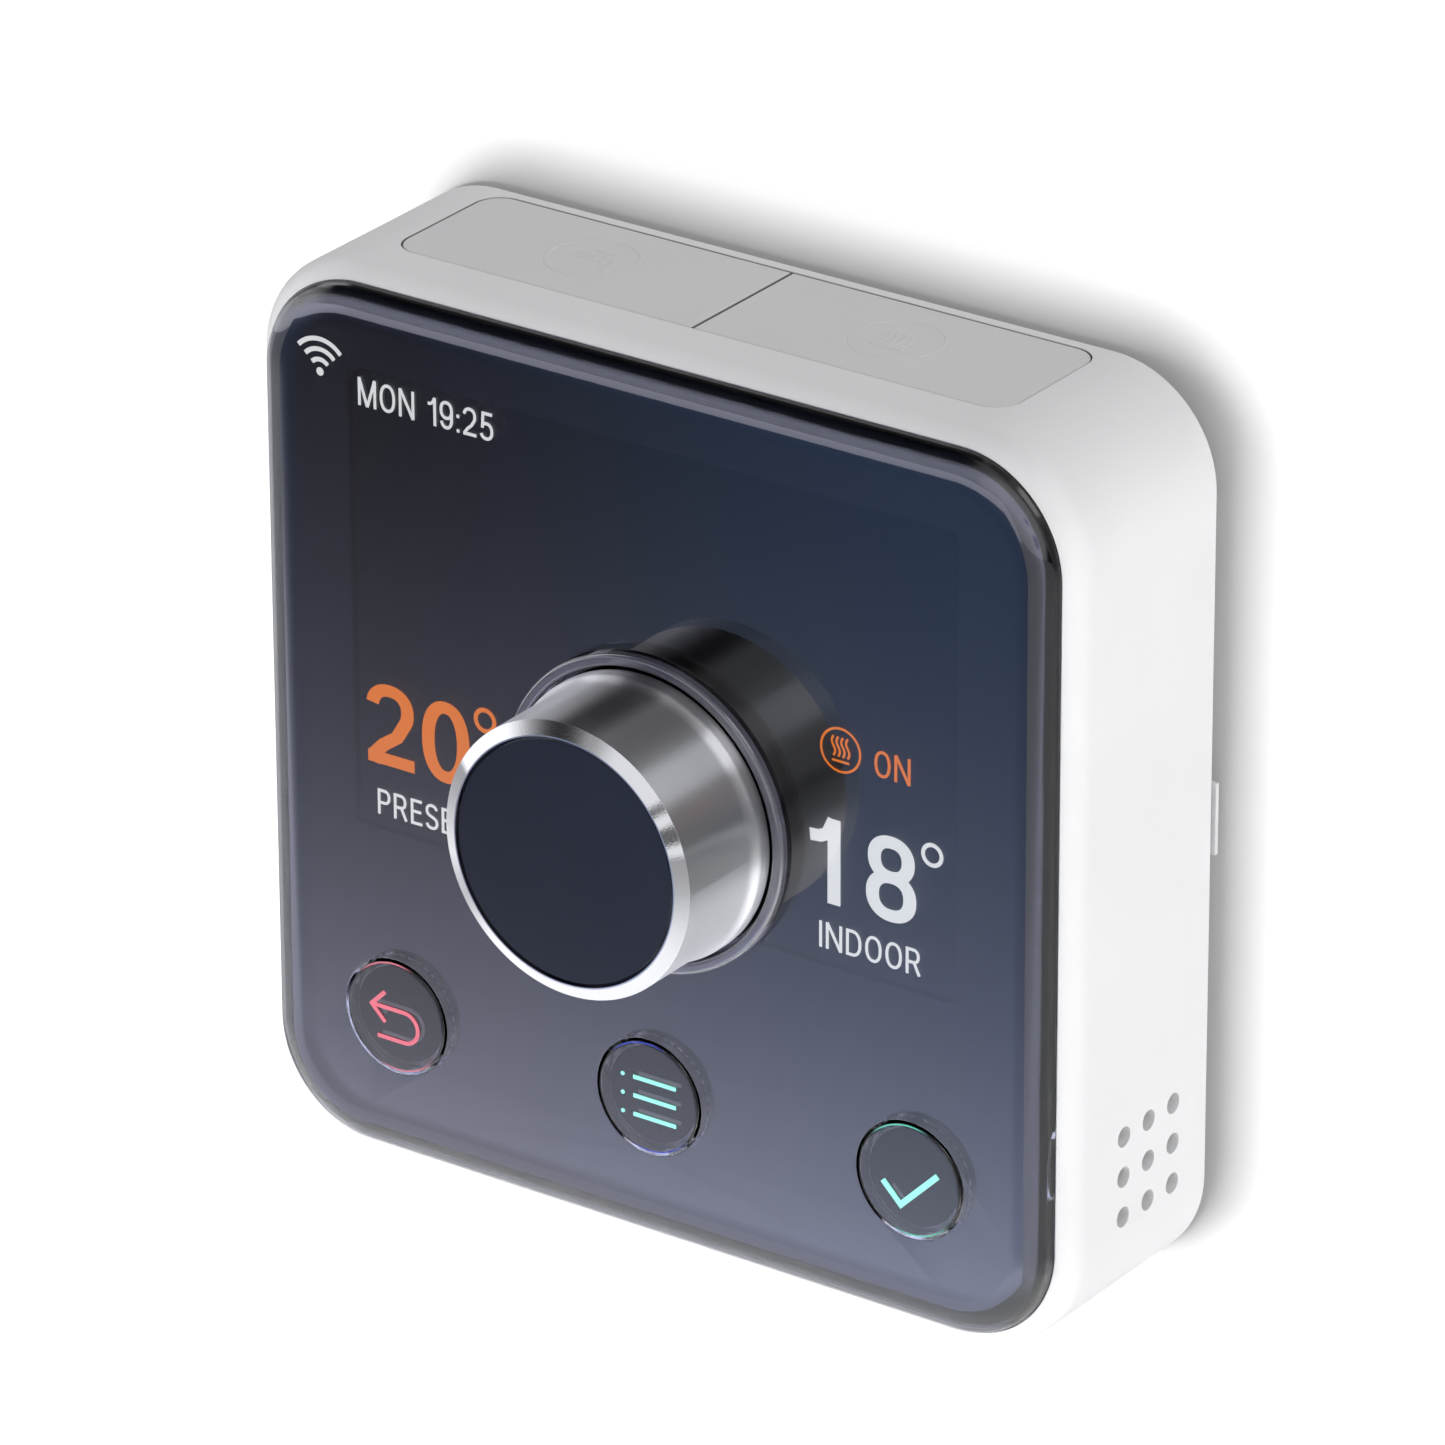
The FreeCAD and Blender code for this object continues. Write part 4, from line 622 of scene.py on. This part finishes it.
def rim_highlight_material(name, cx, colour):
    """A black rim with a painted highlight in its button's colour on two opposite sides."""
    made, nodes, shader, place = material(name, (0.004, 0.004, 0.006), (0.007, 0.007, 0.010),
                                          0.08, 0.02, grain=900.0, grain_high=0.0)
    along = nodes.split(place)
    turn = nodes.math("ARCTAN2", nodes.math("SUBTRACT", along[2], BUTTON_Z * MM),
                      nodes.math("SUBTRACT", along[0], cx * MM))
    turned = nodes.math("ADD", turn, math.radians(HIGHLIGHT_TURN))
    highlight_lobes = nodes.math("COSINE", nodes.math("MULTIPLY", turned, 2.0))
    lit = nodes.spread(highlight_lobes, 0.0, RIM_HIGHLIGHT_GLOW, 0.25, 0.95, smooth=True)
    shader.inputs["Emission Color"].default_value = (*colour, 1.0)
    made.node_tree.links.new(lit, shader.inputs["Emission Strength"])
    return made


for name, cx, colour in zip(KEYS, BUTTON_X, RIM_HIGHLIGHT_COLOURS):
    strokes(f"{name}_rim", [(True, circle(0, 0, RIM_R, 96))], RIM_WIDE, RIM_HIGH,
            front_at(cx, BUTTON_Z, RIM_D), f"{name}_key", rim_highlight_material(f"{name}_rim", cx, colour))

# ---------------------------------------------------------------- inside the clear buttons

# painted reflection: pale copies of each glyph on the insert behind the clear cap
GLYPH_REFLECTION_D = 25.83
GLYPH_REFLECTION = plain("insert_relief", (0.19, 0.185, 0.19), (0.15, 0.15, 0.155), 0.3)
TOOTH_R, TOOTH_D, TEETH = 6.36, 24.95, 40
TOOTH_DEEP, TOOTH_LONG, TOOTH_BEVEL = 0.24, 0.36, 0.04
TOOTH_WIDE = (0.36, 0.62)  # narrow and wide teeth by turns
TOOTH = plain("guide_tooth", (0.60, 0.62, 0.70), (0.02, 0.02, 0.03), 0.25, patch=1500.0)
ARROW = [(False, [(-1.8, 2.0), (-3.0, 0.8), (-1.8, -0.4)]),
         (False, [(-3.0, 0.8), (1.1, 0.8), *arc(1.1, -0.9, 1.7, 90, -90)[1:], (-2.3, -2.6)])]
BARS = [(False, [(-1.8, -0.2 + row), (3.4, -0.2 + row)]) for row in (-2.08, 0.0, 2.08)]
TICK = [(False, [(-2.5, -1.4), (-0.95, -2.9), (2.2, 0.2)])]


def guide_teeth(name, cx):
    """Small blocks of the light guide, standing round the foot of a button."""
    bm = bmesh.new()
    for i in range(TEETH):
        turn = math.tau * i / TEETH
        out = Vector((math.cos(turn), 0, math.sin(turn)))
        spin = Matrix.Rotation(-turn, 4, "Y")
        centre = Vector((cx, -TOOTH_D, BUTTON_Z)) + out * TOOTH_R
        size = Matrix.Diagonal((TOOTH_DEEP, TOOTH_LONG, TOOTH_WIDE[i % 2], 1))
        bmesh.ops.create_cube(bm, size=1.0, matrix=Matrix.Scale(MM, 4)
                              @ Matrix.Translation(centre) @ spin @ size)
    bmesh.ops.bevel(bm, geom=bm.edges[:], offset=TOOTH_BEVEL * MM, segments=2, affect="EDGES")
    return new_piece(name, mesh_from(bm, name), "unit", TOOTH)


# each button's painted glyph reflection, then the light guide's teeth round its foot
for name, cx, lines in zip(KEYS, BUTTON_X, (ARROW, BARS, TICK)):
    strokes(f"{name}_relief", lines, 0.5, 0.03, front_at(cx, BUTTON_Z, GLYPH_REFLECTION_D),
            f"{name}_key", GLYPH_REFLECTION)
    guide_teeth(f"{name}_guide_teeth", cx)

# ---------------------------------------------------------------- top icons

TOP_Z = 49.0
ICON_X, ICON_D, ICON_R = 18.2, 10.5, 4.75
ICON_WIDE, ICON_HIGH = 0.26, 0.07
TAP = [(False, [(-2.4, -0.35), (-0.6, -0.35), (-0.3, -0.1), (0.8, -0.1), (1.5, -0.5),
                (1.8, -1.3)]),
       (False, [(-2.4, 0.75), (-0.6, 0.75), (-0.2, 1.0), (1.0, 1.0), (2.2, 0.4), (2.8, -0.7),
                (2.8, -1.3), (1.8, -1.3)]),
       (False, [(0.2, 1.0), (0.2, 1.9)]), (False, [(-0.9, 1.9), (1.3, 1.9)]),
       (False, [(2.3, -1.9), (2.3, -2.5)])]
WAVES = [*((False, wave(x, -1.2, 2.2, 0.35)) for x in (-1.3, -0.43, 0.43, 1.3)),
         (False, [(-1.8, -2.1), (1.8, -2.1)])]
for side, body, name, lines in ((-1, "hot_water_key", "tap_icon", TAP),
                                (1, "heating_key", "heat_icon", WAVES)):
    strokes(name, [(True, circle(0, 0, ICON_R, 80)), *lines], ICON_WIDE, ICON_HIGH,
            top_at(side * ICON_X, TOP_Z, ICON_D), body, MATERIALS["button_white"])

# ---------------------------------------------------------------- stage

AZIMUTH, ELEVATION, ROLL = (math.radians(a) for a in (35.32, 24.88, -0.2285))
LENS_MM, SENSOR_MM = 256.4, 36.0
NEAR, FAR = 0.05, 20.0
CENTRE = Vector((0, -0.0255, 0))  # the camera stands back, right and up from this point
DISTANCE, ASIDE, ABOVE = 1.0157, 0.00645, 0.00819


def make_camera():
    """The camera, with a slight roll."""
    back = Vector((math.sin(AZIMUTH) * math.cos(ELEVATION),
                   -math.cos(AZIMUTH) * math.cos(ELEVATION), math.sin(ELEVATION)))
    right = Vector((math.cos(AZIMUTH), math.sin(AZIMUTH), 0.0))
    up = back.cross(right)
    camera = bpy.data.objects.new("camera", bpy.data.cameras.new("camera"))
    camera.data.lens = LENS_MM
    camera.data.sensor_width = SENSOR_MM
    camera.data.clip_start = NEAR
    camera.data.clip_end = FAR
    x_axis = math.cos(ROLL) * right + math.sin(ROLL) * up
    y_axis = -math.sin(ROLL) * right + math.cos(ROLL) * up
    turn = Matrix((x_axis, y_axis, back)).transposed().to_4x4()
    place = CENTRE + back * DISTANCE + right * ASIDE + up * ABOVE
    camera.matrix_world = Matrix.Translation(place) @ turn
    SCENE.collection.objects.link(camera)
    SCENE.camera = camera


make_camera()


def staged(name, corners, look):
    """A flat panel of the stage."""
    mesh = bpy.data.meshes.new(name)
    mesh.from_pydata(corners, [], [(0, 1, 2, 3)])
    panel = bpy.data.objects.new(name, mesh)
    mesh.materials.append(look)
    SCENE.collection.objects.link(panel)
    return panel


def stage_paint(name, level):
    """Pale paint, seen only from the room side."""
    made = bpy.data.materials.new(name)
    made.use_nodes = True
    nodes = Nodes(made.node_tree)
    shader = made.node_tree.nodes["Principled BSDF"]
    shader.inputs["Base Color"].default_value = (level, level, level, 1)
    shader.inputs["Roughness"].default_value = 0.9
    clear = nodes.add("ShaderNodeBsdfTransparent")
    behind = nodes.add("ShaderNodeNewGeometry").outputs["Backfacing"]
    both = nodes.add("ShaderNodeMixShader", {0: behind, 1: shader.outputs[0],
                                             2: clear.outputs[0]})
    output = made.node_tree.nodes["Material Output"]
    made.node_tree.links.new(both.outputs[0], output.inputs["Surface"])
    return made


def only_seen(panel):
    """The panel is a backdrop: it neither blocks nor reflects light onto the object."""
    panel.visible_diffuse = False
    panel.visible_glossy = False
    panel.visible_transmission = False
    panel.visible_shadow = False


WALL_Y, REACH, FLOOR_Z = 0.0006, 3.0, -0.6
wall = staged("wall", [(-REACH, WALL_Y, FLOOR_Z), (REACH, WALL_Y, FLOOR_Z),
                       (REACH, WALL_Y, REACH), (-REACH, WALL_Y, REACH)],
              stage_paint("wall_paint", 0.5))
floor = staged("floor", [(-REACH, -REACH, FLOOR_Z), (REACH, -REACH, FLOOR_Z),
                         (REACH, WALL_Y, FLOOR_Z), (-REACH, WALL_Y, FLOOR_Z)],
               stage_paint("floor_paint", 0.8))
only_seen(wall)


def area_light(name, place, aim, size, power):
    """A square soft box that lights the object and isn't reflected in it."""
    light = bpy.data.lights.new(name, "AREA")
    light.shape = "SQUARE"
    light.size = size
    light.energy = power
    lamp = bpy.data.objects.new(name, light)
    lamp.location = place
    lamp.rotation_euler = (Vector(aim) - Vector(place)).to_track_quat("-Z", "Y").to_euler()
    lamp.visible_glossy = False
    SCENE.collection.objects.link(lamp)
    return lamp


def glowing_card(name, centre, aim, wide, high, surface):
    """A card that faces aim and glows as the shader from surface(nodes) says."""
    look = bpy.data.materials.new(name)
    look.use_nodes = True
    nodes = Nodes(look.node_tree)
    look.node_tree.nodes.remove(look.node_tree.nodes["Principled BSDF"])
    look.node_tree.links.new(surface(nodes).outputs[0],
                             look.node_tree.nodes["Material Output"].inputs["Surface"])
    card = staged(name, [(-wide / 2, -high / 2, 0), (wide / 2, -high / 2, 0),
                         (wide / 2, high / 2, 0), (-wide / 2, high / 2, 0)], look)
    facing = (Vector(aim) - Vector(centre)).to_track_quat("Z", "Y").to_matrix().to_4x4()
    card.matrix_world = Matrix.Translation(centre) @ facing
    return card


def even(nodes, colour):
    """The same glow all over the card."""
    return nodes.add("ShaderNodeEmission", {"Color": (*colour, 1.0), "Strength": 1.0})


KEY_SLANT = -0.295  # how much of the way across counts as a way up
KEY_LEVEL, KEY_FALL, KEY_MOST = 0.33, 0.041, 1.75  # glow at the middle, metres of fall, limit
KEY_TINT, KEY_BLUE = (1.0, 1.0, 1.22), (0.06, 0.15, 0.31)
KEY_BLUE_EDGE = 0.05


def fading(nodes):
    """A glow that fades out upwards, a little bluer on the card's right."""
    x, y = nodes.split(nodes.add("ShaderNodeTexCoord").outputs["Object"])[:2]
    along = nodes.math("ADD", y, nodes.math("MULTIPLY", x, KEY_SLANT))
    fade = nodes.math("EXPONENT", nodes.math("MULTIPLY", along, -1.0 / KEY_FALL))
    strength = nodes.math("MINIMUM", nodes.math("MULTIPLY", fade, KEY_LEVEL), KEY_MOST)
    main = nodes.add("ShaderNodeEmission", {"Color": (*KEY_TINT, 1.0), "Strength": strength})
    side = nodes.spread(x, 0.0, 1.0, KEY_BLUE_EDGE, -KEY_BLUE_EDGE, smooth=True)
    extra = nodes.add("ShaderNodeEmission", {"Color": (*KEY_BLUE, 1.0), "Strength": side})
    return nodes.add("ShaderNodeAddShader", {0: main.outputs[0], 1: extra.outputs[0]})


# two cards that only show as reflections: the key card stands where the lens's face mirrors it
# to the camera, and the stripe card higher, level with the object
MIRROR = Vector((-math.sin(AZIMUTH) * math.cos(ELEVATION),
                 -math.cos(AZIMUTH) * math.cos(ELEVATION), -math.sin(ELEVATION)))
FRONT = Vector((0, -0.027, 0))
KEY_AWAY, STRIPE_AWAY = 0.5, 0.6
STRIPE_WAY = Vector((-0.535, -0.85, -0.04))
STRIPE_COLOUR = (1.6, 1.6, 1.95)
key_card = glowing_card("key_card", FRONT + MIRROR * KEY_AWAY, FRONT, 0.5, 0.40, fading)
stripe_card = glowing_card("stripe_card", FRONT + STRIPE_WAY * STRIPE_AWAY, FRONT, 0.6, 0.2,
                           lambda nodes: even(nodes, STRIPE_COLOUR))
for card in (key_card, stripe_card):
    card.visible_diffuse = False
    card.visible_shadow = False
    card.visible_camera = False

# name, place, aim, size in metres, power in watts
area_light("right_box", (1.1, -0.22, 0.12), (0, 0, 0), 0.8, 5.2)
area_light("top_box", (0.1, -0.4, 1.0), (0, 0, 0), 0.6, 0.25)
area_light("front_box", (-0.62, -1.0, -0.45), (0, 0, 0), 0.45, 3.5)
wall_wash = area_light("wall_wash", (-0.3, -2.14, -0.2), (0, 0, 0), 0.6, 66.0)
washed = bpy.data.collections.new("washed")
washed.objects.link(wall)
wall_wash.light_linking.receiver_collection = washed
floored = bpy.data.collections.new("floored")
floored.objects.link(floor)
for name, x, y, z, power in (("floor_left", -0.75, -0.25, 0.2, 8.0),
                             ("floor_right", 0.55, -0.12, 0.0, 10.0)):
    floor_wash = area_light(name, (x, y, z), (x, y, FLOOR_Z), 0.4, power)
    floor_wash.light_linking.receiver_collection = floored

# for the views from behind: a bright field across the room, and a soft box behind the wall
BACKDROP_SIZE, BACKDROP_COLOUR = 8.0, (0.84, 0.84, 0.84)
only_seen(glowing_card("rear_backdrop", Vector((0, -2.5, 0)), Vector((0, 0, 0)), BACKDROP_SIZE,
                       BACKDROP_SIZE, lambda nodes: even(nodes, BACKDROP_COLOUR)))
area_light("rear_box", (-0.5, 1.0, 0.6), (0, 0, 0), 0.8, 2.2)

# the studio's surroundings, as the gloss mirrors them: an even level, and patches of
# (direction, half angle, softness, change of brightness), with the angles in degrees
STUDIO_LEVEL, STUDIO_TINT = 0.46, (1.0, 1.0, 1.015, 1.0)
LIGHT_PATCHES = (((-0.30, -0.25, -0.92), 37, 7, 1.2), ((0.10, -0.99, 0.10), 24, 6, 0.6),
                 ((-0.95, -0.25, -0.15), 28, 7, 1.0), ((0.53, 0.10, -0.85), 28, 8, 1.0))
DARK_PATCHES = (((-0.56, -0.66, 0.50), 16, 4, 0.97), ((0.62, -0.72, -0.30), 17, 5, 0.95),
                ((-0.60, -0.48, 0.70), 17, 5, 0.95), ((-0.92, 0.33, 0.16), 14, 4, 0.5),
                ((0.13, -0.988, 0.075), 2.0, 0.5, 0.85), ((0.215, -0.972, -0.07), 3.4, 0.6, 0.85))
# bands that run towards the wall, seen in the knob's side, with a turn about the wall's normal
# in place of the direction; they fade out over these two ranges of the direction's y
LIGHT_BANDS = ((49, 13, 4, 1.3), (143, 12, 4, 1.2))
DARK_BANDS = ((7, 20, 5, 0.42), (84, 11, 3, 0.5), (113, 13, 3, 0.82))
BAND_NEAR, BAND_FAR = (-0.62, -0.5), (0.22, 0.34)


def make_world():
    """A soft studio all round: an even grey with bright and dark patches for the gloss."""
    world = bpy.data.worlds.new("studio")
    world.use_nodes = True
    SCENE.world = world
    nodes = Nodes(world.node_tree)
    way = nodes.add("ShaderNodeTexCoord").outputs["Generated"]

    def patch(towards, angle, soft):
        dot = nodes.add("ShaderNodeVectorMath", {0: way, 1: Vector(towards).normalized()},
                        operation="DOT_PRODUCT").outputs["Value"]
        return nodes.spread(dot, 0.0, 1.0, math.cos(math.radians(angle + soft)),
                            math.cos(math.radians(angle - soft)), smooth=True)

    x, y, z = nodes.split(way)[:3]
    out = nodes.math("SQRT", nodes.math("ADD", nodes.math("MULTIPLY", x, x),
                                        nodes.math("MULTIPLY", z, z)))
    sideways = nodes.math("MULTIPLY", nodes.spread(y, 0.0, 1.0, *BAND_NEAR, smooth=True),
                          nodes.spread(y, 1.0, 0.0, *BAND_FAR, smooth=True))

    def band(turn, angle, soft):
        along = nodes.math("ADD", nodes.math("MULTIPLY", x, math.cos(math.radians(turn))),
                           nodes.math("MULTIPLY", z, math.sin(math.radians(turn))))
        inside = nodes.spread(nodes.math("DIVIDE", along, out), 0.0, 1.0,
                              math.cos(math.radians(angle + soft)),
                              math.cos(math.radians(angle - soft)), smooth=True)
        return nodes.math("MULTIPLY", inside, sideways)

    level = STUDIO_LEVEL
    for shape, rows in ((patch, LIGHT_PATCHES), (band, LIGHT_BANDS)):
        for towards, angle, soft, bright in rows:
            level = nodes.math("ADD", level, nodes.math("MULTIPLY", shape(towards, angle, soft),
                                                        bright))
    for shape, rows in ((patch, DARK_PATCHES), (band, DARK_BANDS)):
        for towards, angle, soft, dark in rows:
            shade = nodes.math("SUBTRACT", 1.0,
                               nodes.math("MULTIPLY", shape(towards, angle, soft), dark))
            level = nodes.math("MULTIPLY", level, shade)
    back = world.node_tree.nodes["Background"]
    back.inputs["Color"].default_value = STUDIO_TINT
    world.node_tree.links.new(level, back.inputs["Strength"])


make_world()
SCENE.view_settings.view_transform = "Standard"
